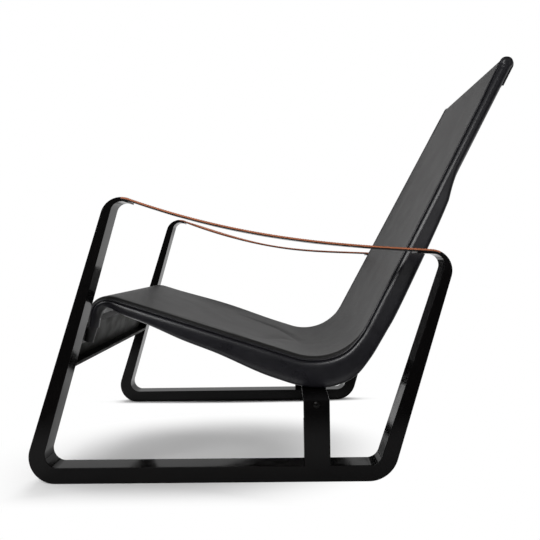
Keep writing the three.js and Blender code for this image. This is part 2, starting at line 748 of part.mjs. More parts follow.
function addPiping(side) {
  const stations = [...stops(coverFrom, profileEnd, SPAN_STEP, topEasing).map(station), ...topWrap()];
  const lift = LEATHER_INNER + PIPING_RADIUS;
  const sections = stations.map((stop) => {
    const angle = seamAngle(stop);
    const middle = point(lift * Math.sin(angle), lift * Math.cos(angle) + wrapRise(stop));
    return circle(middle, PIPING_RADIUS, PIPING_SIDES);
  });
  const rings = stations.map((stop, i) => sections[i].map(({ x, y }) => beside(stop, side, x, y)));
  addPiece(`${sideName(side)}_piping`, loft(rings, sections[0], sections[sections.length - 1]), navyBlack);
}

// Top cross tube, and the leather caps over its ends
const topTubeEnd = TOP_HALF_WIDTH + TUBE_RADIUS;

function addTopTube() {
  const rim = circle(top, TUBE_RADIUS, TUBE_SIDES);
  const bore = circle(top, TUBE_RADIUS - TUBE_WALL, TUBE_SIDES);
  addPiece('top_cross_tube', extrudeAcross(rim, -topTubeEnd, topTubeEnd, bore), innerSteel);
}

function addTopCap(side) {
  const mouth = TOP_HALF_WIDTH + PIPING_RADIUS + SEAM_MARGIN;
  const floorLevel = topTubeEnd + LEATHER_GAP;
  const cup = new THREE.LatheGeometry([
    [LEATHER_INNER, mouth], [LEATHER_OUTER, mouth], [LEATHER_OUTER, floorLevel],
    [LEATHER_INNER, floorLevel + LEATHER], [0, floorLevel + LEATHER], [0, floorLevel],
    [LEATHER_INNER, floorLevel], [LEATHER_INNER, mouth],
  ].map(([x, y]) => new THREE.Vector2(x, y)), 2 * TOP_WRAP_STEPS);
  if (side === LEFT) cup.rotateX(Math.PI);
  cup.translate(top.x, 0, top.y);
  const below = beside(station(profileEnd - 4 * TUBE_RADIUS), side, 0, 0);
  const up = beside(station(profileEnd), side, 0, 0).sub(below);
  const passage = pin(below, up.clone().normalize(), LEATHER_INNER, up.length());
  addPiece(`${sideName(side)}_top_cap`, cut(cup, passage), navyBlack);
}

// Front plate: sheet between the side tubes that follows their front bend under the panel
function addFrontPlate() {
  const stations = stops(frontBendStart - FRONT_PLATE_DROP, seatStart + FRONT_PLATE_RUN).map(station);
  const face = stations.map(({ center, normal }) => along(center, normal, TUBE_RADIUS + GAP / 2));
  const lowest = TUBE_RADIUS + GAP / 2 - FRONT_PLATE;
  const half = SEAT_HALF_WIDTH - Math.sqrt(TUBE_RADIUS ** 2 - lowest ** 2) - 2 * GAP;
  addPiece('front_plate', extrudeAcross(strip(face, FRONT_PLATE).reverse(), -half, half), innerSteel);
}

// Apron: sheet square to the lean of the front posts, set between them

const apronHalf = WIDTH / 2 - BAND_WIDTH - GAP;
const slopeAt = (height) => along(point(0, 0), frontOuterUp.direction, height / frontOuterUp.direction.y);
const postDepthAt = (height) => {
  const across = { start: slopeAt(height), direction: frontDepth };
  return meet(across, frontInner).distanceTo(across.start);
};
const leaning = (height, depth) => along(slopeAt(height), frontDepth, depth);
const frontAxis = new THREE.Vector3(-frontDepth.x, 0, -frontDepth.y);

function apronOutline() {
  const heel = postDepthAt(APRON_LOW);
  const low = leaning(APRON_LOW, APRON_INSET);
  const high = leaning(APRON_HIGH, APRON_INSET);
  const heelPoint = leaning(APRON_LOW, heel);
  return strip([
    along(high, frontDepth, APRON_LIP),
    high,
    low,
    heelPoint,
    along(heelPoint, frontOuterUp.direction, APRON_FLANGE_LIP),
  ], -APRON_SHEET);
}

// The bracket fills the space between the apron's web and the tube's drop
const webBack = APRON_INSET + APRON_SHEET;
const tubeFront = drop.start.clone().dot(frontDepth) - TUBE_RADIUS;
const bracketThickness = tubeFront - webBack - 2 * GAP;
const bracketLow = dropEnd.y;
const bracketNear = SEAT_HALF_WIDTH + TUBE_RADIUS - BRACKET_LENGTH;

function frontBoltPlaces(side) {
  const rise = frontOuterUp.direction.y;
  const middle = bracketLow + (BRACKET_HEIGHT * rise) / 2;
  return [-1, 1].map((half) => {
    const spot = leaning(middle + (half * BRACKET_BOLT_SPACING * rise) / 2, APRON_INSET - GAP);
    return {
      name: `${sideName(side)}_front_bolt_${half < 0 ? 'lower' : 'upper'}`,
      position: new THREE.Vector3(spot.x, side * (SEAT_HALF_WIDTH - BOLT_INSET), spot.y),
    };
  });
}

function boltHole({ position }, axis) {
  const reach = 2 * (webBack + bracketThickness);
  const start = position.clone().addScaledVector(axis, -reach);
  return pin(start, axis, BOLT_RADIUS + HOLE_CLEARANCE, 2 * reach);
}

function addFront() {
  const apron = extrudeAcross(apronOutline(), -apronHalf, apronHalf);
  const places = [LEFT, RIGHT].map(frontBoltPlaces);
  addPiece('front_apron', cut(apron, ...places.flat().map((place) => boltHole(place, frontAxis))), gloss);

  [LEFT, RIGHT].forEach((side, i) => {
    const foot = leaning(bracketLow, webBack + GAP);
    const rise = frontOuterUp.direction;
    const face = [foot, along(foot, rise, BRACKET_HEIGHT)];
    const section = strip(face, bracketThickness);
    const plate = acrossSide(section, side, bracketNear, bracketNear + BRACKET_LENGTH);
    const holes = places[i].map((place) => boltHole(place, frontAxis));
    addPiece(`${sideName(side)}_front_bracket`, cut(plate, ...holes), innerSteel);
    const boltLength = GAP + APRON_SHEET + GAP + bracketThickness;
    for (const { name, position } of places[i]) {
      addFastener(name, boltGeometry(boltLength), position, frontAxis);
    }
  });
}

// Rear support: cross bar between the cheeks, uprights on the rails, and folded arms between them

const underBend = stops(seatStart, bendEnd, SPAN_STEP).map(station);
const coverBottom = Math.min(...underBend.map(({ center, normal, distance }) => (
  along(center, normal, LEATHER_OUTER - sideDepth(distance)).y
)));
const hemTop = coverBottom + deepHalf + COVER_HEM;
const barLow = hemTop + 2 * CHEEK;
const barHalf = SEAT_HALF_WIDTH + CHEEK_OFFSET - CHEEK / 2 - GAP;
const armLevel = coverBottom - 2 * GAP;
const padLevel = barLow - GAP;
const legFace = WIDTH / 2 - UPRIGHT_SHEET - GAP;
const padFrom = SEAT_HALF_WIDTH - ARM_STEP;
const padTo = padFrom - ARM_PAD;

const worldUp = new THREE.Vector3(0, 0, 1);
const worldDown = new THREE.Vector3(0, 0, -1);

function padBoltPlaces(side) {
  return [-1, 1].map((half) => ({
    name: `${sideName(side)}_pad_bolt_${half < 0 ? 'front' : 'rear'}`,
    position: new THREE.Vector3(
      UPRIGHT_X + (half * PAD_BOLT_SPACING) / 2, (side * (padFrom + padTo)) / 2, padLevel - ARM_SHEET - GAP,
    ),
  }));
}

function padHole({ position }) {
  const reach = ARM_SHEET + GAP + BAR_WALL + GAP;
  const start = position.clone().addScaledVector(worldUp, -reach);
  return pin(start, worldUp, BOLT_RADIUS + HOLE_CLEARANCE, 2 * reach);
}

function addCrossBar() {
  const [low, high] = [barLow, barLow + BAR_HEIGHT];
  const frame = (inset) => [
    point(UPRIGHT_X - BAR_WIDTH / 2 + inset, low + inset),
    point(UPRIGHT_X + BAR_WIDTH / 2 - inset, low + inset),
    point(UPRIGHT_X + BAR_WIDTH / 2 - inset, high - inset),
    point(UPRIGHT_X - BAR_WIDTH / 2 + inset, high - inset),
  ];
  const bar = extrudeAcross(frame(0), -barHalf, barHalf, frame(BAR_WALL));
  const holes = [LEFT, RIGHT].flatMap(padBoltPlaces).map(padHole);
  addPiece('bend_cross_bar', cut(bar, ...holes), innerSteel);
}

// An outline drawn across the chair, with x inward from the outer face, carried along X about the upright
function extrudeAlong(points, side, width) {
  const shape = new THREE.Shape(points);
  const geometry = new THREE.ExtrudeGeometry(shape, { depth: width, bevelEnabled: false });
  geometry.rotateX(Math.PI / 2);
  geometry.rotateZ((-side * Math.PI) / 2);
  geometry.translate(0, (side * WIDTH) / 2, 0);
  geometry.computeBoundingBox();
  const { min, max } = geometry.boundingBox;
  geometry.translate(UPRIGHT_X - (min.x + max.x) / 2, 0, 0);
  return geometry;
}

function uprightBolt(side) {
  return new THREE.Vector3(UPRIGHT_X, side * (WIDTH / 2 + GAP), UPRIGHT_TOP - UPRIGHT_BOLT_DROP);
}

function addUpright(side) {
  const name = sideName(side);
  const outward = new THREE.Vector3(0, side, 0);
  const boltSpot = uprightBolt(side);
  const stack = GAP + UPRIGHT_SHEET + GAP + ARM_SHEET;
  const holeStart = boltSpot.clone().addScaledVector(outward, -2 * stack);
  const hole = pin(holeStart, outward, BOLT_RADIUS + HOLE_CLEARANCE, 4 * stack);

  const foot = RAIL_HEIGHT + GAP;
  const [w, f, t] = [UPRIGHT_WIDTH / 2, UPRIGHT_FLANGE, UPRIGHT_SHEET];
  const channel = new THREE.Shape([
    point(-w, 0), point(w, 0), point(w, f), point(w - t, f),
    point(w - t, t), point(t - w, t), point(t - w, f), point(-w, f),
  ]);
  const post = new THREE.ExtrudeGeometry(channel, { depth: UPRIGHT_TOP - foot, bevelEnabled: false });
  if (side === RIGHT) post.rotateZ(Math.PI);
  post.translate(UPRIGHT_X, (side * WIDTH) / 2, foot);
  const room = new THREE.BoxGeometry(2 * UPRIGHT_WIDTH, 2 * UPRIGHT_FLANGE, 2 * UPRIGHT_FLANGE_STOP);
  room.translate(UPRIGHT_X, side * (WIDTH / 2 - UPRIGHT_SHEET - UPRIGHT_FLANGE), UPRIGHT_TOP);
  addPiece(`${name}_rear_upright`, cut(post, room, hole), gloss);

  const inward = (distance) => WIDTH / 2 - distance;
  const face = [
    point(inward(legFace), UPRIGHT_TOP - ARM_LEG),
    point(inward(legFace), UPRIGHT_TOP),
    point(inward(SEAT_HALF_WIDTH + LEATHER_OUTER + ARM_STEP), armLevel),
    point(inward(SEAT_HALF_WIDTH), armLevel),
    point(inward(padFrom), padLevel),
    point(inward(padTo), padLevel),
  ];
  const arm = extrudeAlong(strip(face, ARM_SHEET), side, UPRIGHT_WIDTH);
  addPiece(`${name}_rear_arm`, cut(arm, hole, ...padBoltPlaces(side).map(padHole)), gloss);

  addFastener(`${name}_upright_bolt`, boltGeometry(stack), boltSpot, outward);
  for (const { name: boltName, position } of padBoltPlaces(side)) {
    addFastener(boltName, boltGeometry(ARM_SHEET + 2 * GAP + BAR_WALL), position, worldDown);
  }
}

// The chair

for (const side of [LEFT, RIGHT]) {
  addRunner(side);
  addSideMember(side);
  addPiping(side);
  addTopCap(side);
  addUpright(side);
}
addPanel();
addTopTube();
addFrontPlate();
addFront();
addCrossBar();

// The origin is on the floor, midway between the foremost and rearmost points
const reach = new THREE.Box3().setFromObject(chair);
chair.position.x = -(reach.min.x + reach.max.x) / 2;

export default chair;
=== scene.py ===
# %% [markdown]
# # A leather sling lounge chair
#
# The chair is one long leather panel, slung between two bent tubes and carried low between two flat
# runners of black lacquered steel. Thick tan straps make the arms. The solids of the chair come from the
# CAD model, which is loaded here as a fixed frame: nothing in it moves, and every piece made below is
# laid over it in the same place. The frame is in metres, the sitter faces -X and the floor is Z = 0.

# %% Load the frame
import cmath
import math

import bmesh
import bpy
import numpy as np
from mathutils import Matrix, Vector


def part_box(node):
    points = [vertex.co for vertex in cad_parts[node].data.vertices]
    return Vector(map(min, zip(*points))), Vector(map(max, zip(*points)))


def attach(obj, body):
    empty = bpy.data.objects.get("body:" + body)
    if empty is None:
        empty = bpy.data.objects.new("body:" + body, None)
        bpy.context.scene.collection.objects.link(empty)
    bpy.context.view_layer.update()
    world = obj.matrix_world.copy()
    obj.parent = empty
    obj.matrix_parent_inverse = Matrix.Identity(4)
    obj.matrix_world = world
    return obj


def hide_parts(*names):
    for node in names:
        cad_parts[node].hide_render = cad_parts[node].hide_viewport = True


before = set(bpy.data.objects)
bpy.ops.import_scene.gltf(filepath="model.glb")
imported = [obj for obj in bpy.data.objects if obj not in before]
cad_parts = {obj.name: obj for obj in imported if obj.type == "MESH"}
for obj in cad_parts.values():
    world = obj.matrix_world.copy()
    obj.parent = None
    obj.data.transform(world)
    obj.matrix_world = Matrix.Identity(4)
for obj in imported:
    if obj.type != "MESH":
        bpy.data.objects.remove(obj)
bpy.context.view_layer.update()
SIDES = {"left": -1, "right": 1}

# %% [markdown]
# ## Camera
#
# The photograph looks at the chair's left side from a little above the seat, about one and a half metres
# away. The place and the turn were found by matching the runners' corners with the picture. A lens can be
# given in millimetres once its focal length is known in pixels of a square picture.

# %% Place the camera
CAMERA_PLACE = (-0.00354, -1.4291, 0.4241)
CAMERA_YAW, CAMERA_TILT, CAMERA_ROLL = 1.04, -1.07, 0.91
FOCAL_PIXELS, PICTURE_PIXELS, SENSOR = 575.9, 540, 36.0


def turn(degrees, axis):
    return Matrix.Rotation(math.radians(degrees), 4, axis)


def in_scene(name, data):
    """A new object that shows its data in the scene."""
    thing = bpy.data.objects.new(name, data)
    bpy.context.scene.collection.objects.link(thing)
    return thing


camera = in_scene("camera", bpy.data.cameras.new("camera"))
camera.data.sensor_width = SENSOR
camera.data.lens = FOCAL_PIXELS / PICTURE_PIXELS * SENSOR
level = turn(CAMERA_YAW, "Z") @ turn(CAMERA_TILT, "X") @ turn(CAMERA_ROLL, "Y") @ turn(90, "X")
camera.matrix_world = Matrix.Translation(CAMERA_PLACE) @ level
bpy.context.scene.camera = camera
bpy.context.scene.view_settings.view_transform = "Standard"
print("lens", round(camera.data.lens, 2), "mm")

# %% [markdown]
# ## Node helpers
#
# Every finish below is a small tree of nodes. These helpers only save typing: one adds a node, sets its
# switches and feeds its inputs, and the others make what most finishes need, such as a noise, a pair of
# colours chosen by a number, and a number moved from one range to another.


# %% Helpers for node trees
def feed(tree, source, node, socket):
    """Links a socket to a node's input, or sets the input to a plain value."""
    if isinstance(source, bpy.types.NodeSocket):
        tree.links.new(source, node.inputs[socket])
    else:
        node.inputs[socket].default_value = source


def add(tree, kind, inputs=None, **switches):
    node = tree.nodes.new(kind)
    for name, value in switches.items():
        setattr(node, name, value)
    for socket, source in (inputs or {}).items():
        feed(tree, source, node, socket)
    return node


def noise(tree, place, scale, detail=3.0, roughness=0.5):
    inputs = {"Vector": place, "Scale": scale, "Detail": detail, "Roughness": roughness}
    return add(tree, "ShaderNodeTexNoise", inputs).outputs["Fac"]


def between(tree, number, low, high, to_low=0.0, to_high=1.0):
    inputs = {"Value": number, "From Min": low, "From Max": high, "To Min": to_low, "To Max": to_high}
    return add(tree, "ShaderNodeMapRange", inputs, interpolation_type="SMOOTHSTEP").outputs["Result"]


def tint(tree, number, dark, light):
    node = add(tree, "ShaderNodeMix", {"Factor": number}, data_type="RGBA")
    colours = [socket for socket in node.inputs if socket.type == "RGBA"]
    colours[0].default_value, colours[1].default_value = (*dark, 1), (*light, 1)
    return next(socket for socket in node.outputs if socket.type == "RGBA")


def combine(tree, operation, first, second):
    return add(tree, "ShaderNodeMath", {0: first, 1: second}, operation=operation).outputs[0]


def bump(tree, height, strength, distance):
    inputs = {"Height": height, "Strength": strength, "Distance": distance}
    return add(tree, "ShaderNodeBump", inputs).outputs["Normal"]


def mix_shaders(tree, share, first, second):
    return add(tree, "ShaderNodeMixShader", {0: share, 1: first, 2: second}).outputs[0]


def new_finish(name, **sockets):
    """A material, its tree and its shader, with the values that are the same all over."""
    material = bpy.data.materials.new(name)
    material.use_nodes = True
    shader = material.node_tree.nodes["Principled BSDF"]
    for socket, value in sockets.items():
        shader.inputs[socket.replace("_", " ").title().replace("Ior", "IOR")].default_value = value
    return material, material.node_tree, shader


def object_place(tree):
    return add(tree, "ShaderNodeTexCoord").outputs["Object"]


# %% [markdown]
# ## Studio
#
# The chair stands on a white floor that runs into a white wall. For the camera the far floor and the
# world are simply white, and under the chair the floor is a plain matt white that shows the soft shadow:
# a turned oval under the front of the seat, on the camera's side, cut short a hand's width in front of
# the near rail, and a slim oval along the far rail, where the steel meets the floor.
# Gloss also needs something to mirror. A photographer lays a black cloth on the floor in front of a black
# lacquered thing, outside the picture, so that the faces turned to the camera stay black: here the floor
# on the camera's side is black for glossy rays only.

# %% Make the floor
FLOOR_HALF, FLOOR_WHITE, CLOTH_GLOW = 8.0, 0.93, 0.03
FADE_FROM, FADE_TO = 0.75, 1.9
# each oval: its middle, its reach, its turn in degrees, and the shares of the reach where it fades
SEAT_OVAL = (-0.225, -0.195, 0.0), (0.40, 0.27, 1.0), 14.0, 0.45, 1.25
RAIL_OVAL = (-0.16, 0.305, 0.0), (0.46, 0.044, 1.0), 0.0, 0.65, 1.00
NEAR_FROM, NEAR_TO = -0.335, -0.455
CLOTH_FROM, CLOTH_TO = -0.55, -0.85


def length_of(tree, place):
    return add(tree, "ShaderNodeVectorMath", {0: place}, operation="LENGTH").outputs["Value"]


def outside(tree, place, middle, reach, degrees, inner, outer):
    """A number that grows from 0 inside a turned oval to 1 outside it."""
    turned_back = {"Vector": place, "Center": middle, "Angle": -math.radians(degrees)}
    place = add(tree, "ShaderNodeVectorRotate", turned_back, rotation_type="Z_AXIS").outputs[0]
    for operation, value in (("SUBTRACT", middle), ("DIVIDE", reach)):
        place = add(tree, "ShaderNodeVectorMath", {0: place, 1: value}, operation=operation).outputs[0]
    return between(tree, length_of(tree, place), inner, outer)


floor_finish, tree, shader = new_finish("studio_floor", roughness=0.9, specular_ior_level=0.1)
shader.inputs["Base Color"].default_value = (FLOOR_WHITE, FLOOR_WHITE, FLOOR_WHITE, 1)
place = object_place(tree)
sideways = add(tree, "ShaderNodeSeparateXYZ", {0: place}).outputs["Y"]
fade = between(tree, length_of(tree, place), FADE_FROM, FADE_TO)
near = between(tree, sideways, NEAR_TO, NEAR_FROM, 1.0, 0.0)
bleached = combine(tree, "MAXIMUM", outside(tree, place, *SEAT_OVAL), near)
bleached = combine(tree, "MINIMUM", bleached, outside(tree, place, *RAIL_OVAL))
cloth = between(tree, sideways, CLOTH_TO, CLOTH_FROM, 1.0, 0.0)
rays = add(tree, "ShaderNodeLightPath").outputs
mirrored, seen = rays["Is Glossy Ray"], rays["Is Camera Ray"]
white = add(tree, "ShaderNodeEmission").outputs[0]
black = add(tree, "ShaderNodeEmission", {"Strength": CLOTH_GLOW}).outputs[0]
by_rays = combine(tree, "MULTIPLY", bleached, seen), combine(tree, "MULTIPLY", fade, mirrored)
whitened = mix_shaders(tree, combine(tree, "MAXIMUM", *by_rays), shader.outputs[0], white)
darkened = mix_shaders(tree, combine(tree, "MULTIPLY", cloth, mirrored), whitened, black)
feed(tree, darkened, tree.nodes["Material Output"], "Surface")

floor_mesh = bpy.data.meshes.new("studio_floor")
corners = [(x * FLOOR_HALF, y * FLOOR_HALF, 0.0) for x, y in ((-1, -1), (1, -1), (1, 1), (-1, 1))]
floor_mesh.from_pydata(corners, [], [(0, 1, 2, 3)])
floor_mesh.materials.append(floor_finish)
studio_floor = in_scene("studio_floor", floor_mesh)
print("floor", 2 * FLOOR_HALF, "m wide")

# %% [markdown]
# The light comes from four places. The wall behind the chair is bright, and everything that is seen at a
# flat angle mirrors it. A large softbox high behind the chair throws the shadow of the seat forward, and
# a wide, lower one beside the camera lights the faces turned to it and draws a soft line along the side.
# A weak one on the camera's other side is mirrored by the side of the back, and lifts it out of the black.
# The ceiling and the room behind the camera stay dark.

# %% Light the studio
WORLD_DARK, WORLD_BRIGHT = 0.10, 0.64
WALL_FROM, WALL_TO, CEILING_FROM, CEILING_TO = -0.25, 0.45, 0.30, 0.80
BACK_LIGHT, BACK_SIZE, BACK_POWER = (-0.3, 1.9, 2.4), (2.2, 2.2), 72.0
FRONT_LIGHT, FRONT_SIZE, FRONT_POWER = (-1.25, -2.2, 1.95), (2.4, 0.9), 55.0
FILL_LIGHT, FILL_SIZE, FILL_POWER = (1.05, -2.15, 0.90), (1.0, 0.9), 2.2

world = bpy.data.worlds.new("studio")
bpy.context.scene.world = world
world.use_nodes = True
tree = world.node_tree
direction = add(tree, "ShaderNodeSeparateXYZ", {0: add(tree, "ShaderNodeTexCoord").outputs["Generated"]})
behind = between(tree, direction.outputs["Y"], WALL_FROM, WALL_TO)
below_ceiling = between(tree, direction.outputs["Z"], CEILING_FROM, CEILING_TO, 1.0, 0.0)
wall = combine(tree, "MULTIPLY", behind, below_ceiling)
background, backdrop = tree.nodes["Background"], add(tree, "ShaderNodeBackground")
feed(tree, between(tree, wall, 0.0, 1.0, WORLD_DARK, WORLD_BRIGHT), background, "Strength")
for shade in (background, backdrop):
    shade.inputs["Color"].default_value = (1, 1, 1, 1)
seen = add(tree, "ShaderNodeLightPath").outputs["Is Camera Ray"]
mixed = mix_shaders(tree, seen, background.outputs[0], backdrop.outputs[0])
feed(tree, mixed, tree.nodes["World Output"], "Surface")


def softbox(name, place, size, power):
    lamp = in_scene(name, bpy.data.lights.new(name, "AREA"))
    lamp.data.shape, lamp.data.energy = "RECTANGLE", power
    lamp.data.size, lamp.data.size_y = size
    lamp.location = place
    lamp.rotation_euler = (-Vector(place)).to_track_quat("-Z", "Y").to_euler()
    return lamp


softbox("back_softbox", BACK_LIGHT, BACK_SIZE, BACK_POWER).visible_glossy = False
softbox("front_softbox", FRONT_LIGHT, FRONT_SIZE, FRONT_POWER)
softbox("fill_softbox", FILL_LIGHT, FILL_SIZE, FILL_POWER)
print("softboxes at", BACK_LIGHT, FRONT_LIGHT, "and", FILL_LIGHT)

# %% [markdown]
# ## Black lacquer
#
# Runners, apron, uprights and arms are sheet steel under a deep black gloss lacquer. A perfect mirror
# would look like plastic, so the gloss breathes a little: a fine ripple, as sprayed lacquer has, and a
# slow change of roughness where hands have polished or dulled it. Inside the apron the lacquer is rougher
# and duller, and its colour is painted about four times brighter: painted light that stands in for the
# light on the apron's inner faces. Paints, zinc and thread share one recipe, in which colour, gloss and
# relief each follow a noise of their own.

# %% Mix the black lacquer
GLOSS_FROM, GLOSS_TO = 0.3, 0.7


def painted(name, dark, light, clouds, rough=None, relief=None, **sockets):
    """A plain finish. The first number of clouds, rough and relief is the scale of their noise."""
    material, tree, shader = new_finish(name, **sockets)
    place = object_place(tree)
    feed(tree, tint(tree, noise(tree, place, *clouds), dark, light), shader, "Base Color")
    if rough:
        scale, low, high = rough
        gloss = between(tree, noise(tree, place, scale), GLOSS_FROM, GLOSS_TO, low, high)
        feed(tree, gloss, shader, "Roughness")
    if relief:
        scale, detail, strength, depth = relief
        feed(tree, bump(tree, noise(tree, place, scale, detail), strength, depth), shader, "Normal")
    return material


black_lacquer = painted(
    "black_lacquer", (0.0018, 0.0017, 0.0018), (0.0042, 0.0038, 0.0038), clouds=(9.0, 4.0),
    rough=(30.0, 0.07, 0.15), relief=(420.0, 1.0, 0.06, 0.0004), specular_ior_level=0.12,
)
# its colour is painted about four times brighter than the black lacquer: painted light for the apron's inner
# faces
inner_lacquer_painted_light = painted(
    "inner_lacquer_painted_light", (0.0070, 0.0068, 0.0050), (0.0190, 0.0182, 0.0135), clouds=(9.0, 4.0),
    rough=(30.0, 0.48, 0.62), relief=(14.0, 1.0, 0.06, 0.06), specular_ior_level=0.10,
)
print("mixed", black_lacquer.name, "and", inner_lacquer_painted_light.name)

# %% [markdown]
# ## Inner steel and fasteners
#
# What carries the leather is plain steel under a thin satin black paint, and the screws and bolts are
# dark zinc. Both are duller than the lacquer; the zinc is bare metal, so its colour is in its reflection.

# %% Mix the satin paint and the zinc
satin_steel = painted(
    "satin_steel", (0.007, 0.007, 0.0075), (0.016, 0.0155, 0.016), clouds=(25.0,),
    rough=(60.0, 0.36, 0.52), relief=(900.0, 2.0, 0.15, 0.0003), specular_ior_level=0.5,
)
dark_zinc = painted(
    "dark_zinc", (0.012, 0.0115, 0.012), (0.030, 0.029, 0.028), clouds=(260.0,),
    rough=(500.0, 0.24, 0.42), metallic=1.0,
)
print("mixed", satin_steel.name, "and", dark_zinc.name)

# %% [markdown]
# ## Leathers
#
# All the leathers share one recipe. A cell pattern about a millimetre across is the grain: the cells
# are low domes and the lines between them are the pores. Over it lie a slow cloud of colour, from the
# dyeing, and a change of gloss, because raised grain is polished by use and the hollows stay dull. The
# recipe takes a piece's own map where it has one, so the grain follows the hide round its bends.

# %% Write the leather recipe
HIDE_MAP = "hide"
CELL_EDGE, PORE_SHADE = 0.28, 0.72
CLOUD_SCALE, MOTTLE_SCALE, MOTTLE_FROM, MOTTLE_TO = 7.0, 55.0, 0.33, 0.67
WEAR_SCALE, WEAR_FROM, WEAR_TO, DOME_WEAR = 18.0, 0.25, 0.65, -0.06
WRINKLE_SCALE, WRINKLE_SHARE, RELIEF = 2.2, 0.5, 0.35


def leather(name, dark, light, grain, gloss, depth=0.00022, mapped=True, **sockets):
    material, tree, shader = new_finish(name, **sockets)
    place = add(tree, "ShaderNodeUVMap", uv_map=HIDE_MAP).outputs["UV"] if mapped else object_place(tree)
    pattern = {"Vector": place, "Scale": 1.0 / grain}
    cells = add(tree, "ShaderNodeTexVoronoi", pattern, feature="DISTANCE_TO_EDGE").outputs["Distance"]
    dome = between(tree, cells, 0.0, CELL_EDGE)
    clouds = noise(tree, place, CLOUD_SCALE, detail=4.0, roughness=0.6), noise(tree, place, MOTTLE_SCALE)
    cloud = combine(tree, "MULTIPLY", combine(tree, "ADD", *clouds), 0.5)
    pores = between(tree, dome, 0.0, 1.0, PORE_SHADE, 1.0)
    shade = combine(tree, "MULTIPLY", between(tree, cloud, MOTTLE_FROM, MOTTLE_TO), pores)
    feed(tree, tint(tree, shade, dark, light), shader, "Base Color")
    polished = combine(tree, "MULTIPLY", dome, DOME_WEAR)
    worn = combine(tree, "ADD", polished, noise(tree, place, WEAR_SCALE, detail=2.0))
    feed(tree, between(tree, worn, WEAR_FROM, WEAR_TO, *gloss), shader, "Roughness")
    wrinkles = combine(tree, "MULTIPLY", noise(tree, place, WRINKLE_SCALE / grain), WRINKLE_SHARE)
    feed(tree, bump(tree, combine(tree, "ADD", dome, wrinkles), RELIEF, depth), shader, "Normal")
    return material


BLUE_BLACK = (0.0085, 0.0083, 0.0108), (0.0135, 0.0130, 0.0165)
charcoal_leather = leather(
    "charcoal_leather", (0.0125, 0.0120, 0.0120), (0.0170, 0.0163, 0.0163), grain=0.0013,
    gloss=(0.42, 0.45), sheen_weight=0.03, sheen_roughness=0.45, specular_ior_level=0.18,
)
blue_black_leather = leather(
    "blue_black_leather", *BLUE_BLACK, grain=0.0012, gloss=(0.27, 0.34), depth=0.00006,
    specular_ior_level=0.5,
)
print("mixed", charcoal_leather.name, "and", blue_black_leather.name)

# %% Mix the strap leathers, the suede and the threads
tan_leather = leather(
    "tan_leather", (0.37, 0.114, 0.047), (0.48, 0.160, 0.071), grain=0.0009, gloss=(0.42, 0.60),
    mapped=False, specular_ior_level=0.4,
)
# the lower strap layer's near-black colour is painted shade, standing in for the shadow under the strap
dark_lining = leather(
    "dark_lining", (0.0050, 0.0044, 0.0044), (0.0090, 0.0078, 0.0074), grain=0.0010, gloss=(0.24, 0.32),
    depth=0.0001, mapped=False, specular_ior_level=0.4,
)
round_leather = leather(
    "blue_black_leather_round", *BLUE_BLACK, grain=0.0010, gloss=(0.30, 0.38), depth=0.00006,
    mapped=False, specular_ior_level=0.5,
)
suede = leather(
    "dark_suede", (0.016, 0.0155, 0.0155), (0.026, 0.025, 0.0245), grain=0.0006, gloss=(0.85, 0.95),
    sheen_weight=0.3, sheen_roughness=0.6, specular_ior_level=0.2,
)
THREAD = {
    "clouds": (1500.0,), "relief": (2500.0, 3.0, 0.3, 0.0001), "roughness": 0.7, "specular_ior_level": 0.3,
}
charcoal_thread = painted("charcoal_thread", (0.018, 0.0175, 0.017), (0.032, 0.031, 0.030), **THREAD)
tan_thread = painted("tan_thread", (0.30, 0.11, 0.05), (0.42, 0.16, 0.08), **THREAD)
print("mixed", tan_leather.name, dark_lining.name, suede.name)

# %% [markdown]
# ## Drawing in the side view
#
# Nearly every piece is a shape drawn from the side and carried across the chair. In the side view a
# point is a complex number, x + height * 1j, in millimetres from the front toe on the floor. That makes
# drawing short: a direction is a number of length one, and multiplying it by 1j turns it left.

# %% Points, edges and rounded corners
MM = 0.001
MIDDLE = 510.894  # from the front toe to the middle of the chair's box


def at(spot, across):
    """A side-view point and a place across the chair, as a point of the frame."""
    return Vector(((spot.real - MIDDLE) * MM, across * MM, spot.imag * MM))


def heading(degrees):
    return cmath.rect(1.0, math.radians(degrees))


def cross(a, b):
    return (a.conjugate() * b).imag


def dot(a, b):
    return (a.conjugate() * b).real


def blend(first, last, share):
    return first + (last - first) * share


def share_of(value, first, last):
    """How far a value is on its way from first to last, held between 0 and 1."""
    return min(max((value - first) / (last - first), 0.0), 1.0)


def eased(share):
    """A share that starts and stops gently."""
    return share * share * (3 - 2 * share)


def circle(radius, count):
    return [cmath.rect(radius, 2 * math.pi * i / count) for i in range(count)]


def meet(a, b):
    """Where two edges, each a start and a direction, cross."""
    return a[0] + a[1] * cross(b[0] - a[0], b[1]) / cross(a[1], b[1])


def shifted(edge, distance):
    return edge[0] + 1j * edge[1] * distance, edge[1]


def turned(edge):
    return edge[0], -edge[1]


class Arc:
    """The arc that rounds the corner from edge a to edge b."""

    def __init__(self, a, b, radius):
        corner = meet(a, b)
        self.sweep = cmath.phase(b[1] / a[1])
        reach = radius * math.tan(abs(self.sweep) / 2)
        self.start, self.end = corner - a[1] * reach, corner + b[1] * reach
        self.center = self.start + 1j * a[1] * math.copysign(radius, self.sweep)
        self.length = abs(self.sweep) * radius

    def point(self, share):
        return self.center + (self.start - self.center) * cmath.rect(1.0, self.sweep * share)

    def points(self, first=0.0, last=1.0, step=3.0):
        count = max(2, math.ceil(abs(math.degrees(self.sweep) * (last - first)) / step))
        return [self.point(blend(first, last, i / count)) for i in range(count + 1)]


def offset(points, distance, closed=False):
    """A line of points moved to its left, with its corners kept sharp."""
    moved = []
    for i, spot in enumerate(points):
        before = spot - points[i - 1] if i or closed else points[1] - spot
        after = points[(i + 1) % len(points)] - spot if i + 1 < len(points) or closed else before
        a, b = 1j * before / abs(before), 1j * after / abs(after)
        middle = (a + b) / abs(a + b)
        moved.append(spot + middle * distance / dot(middle, b))
    return moved


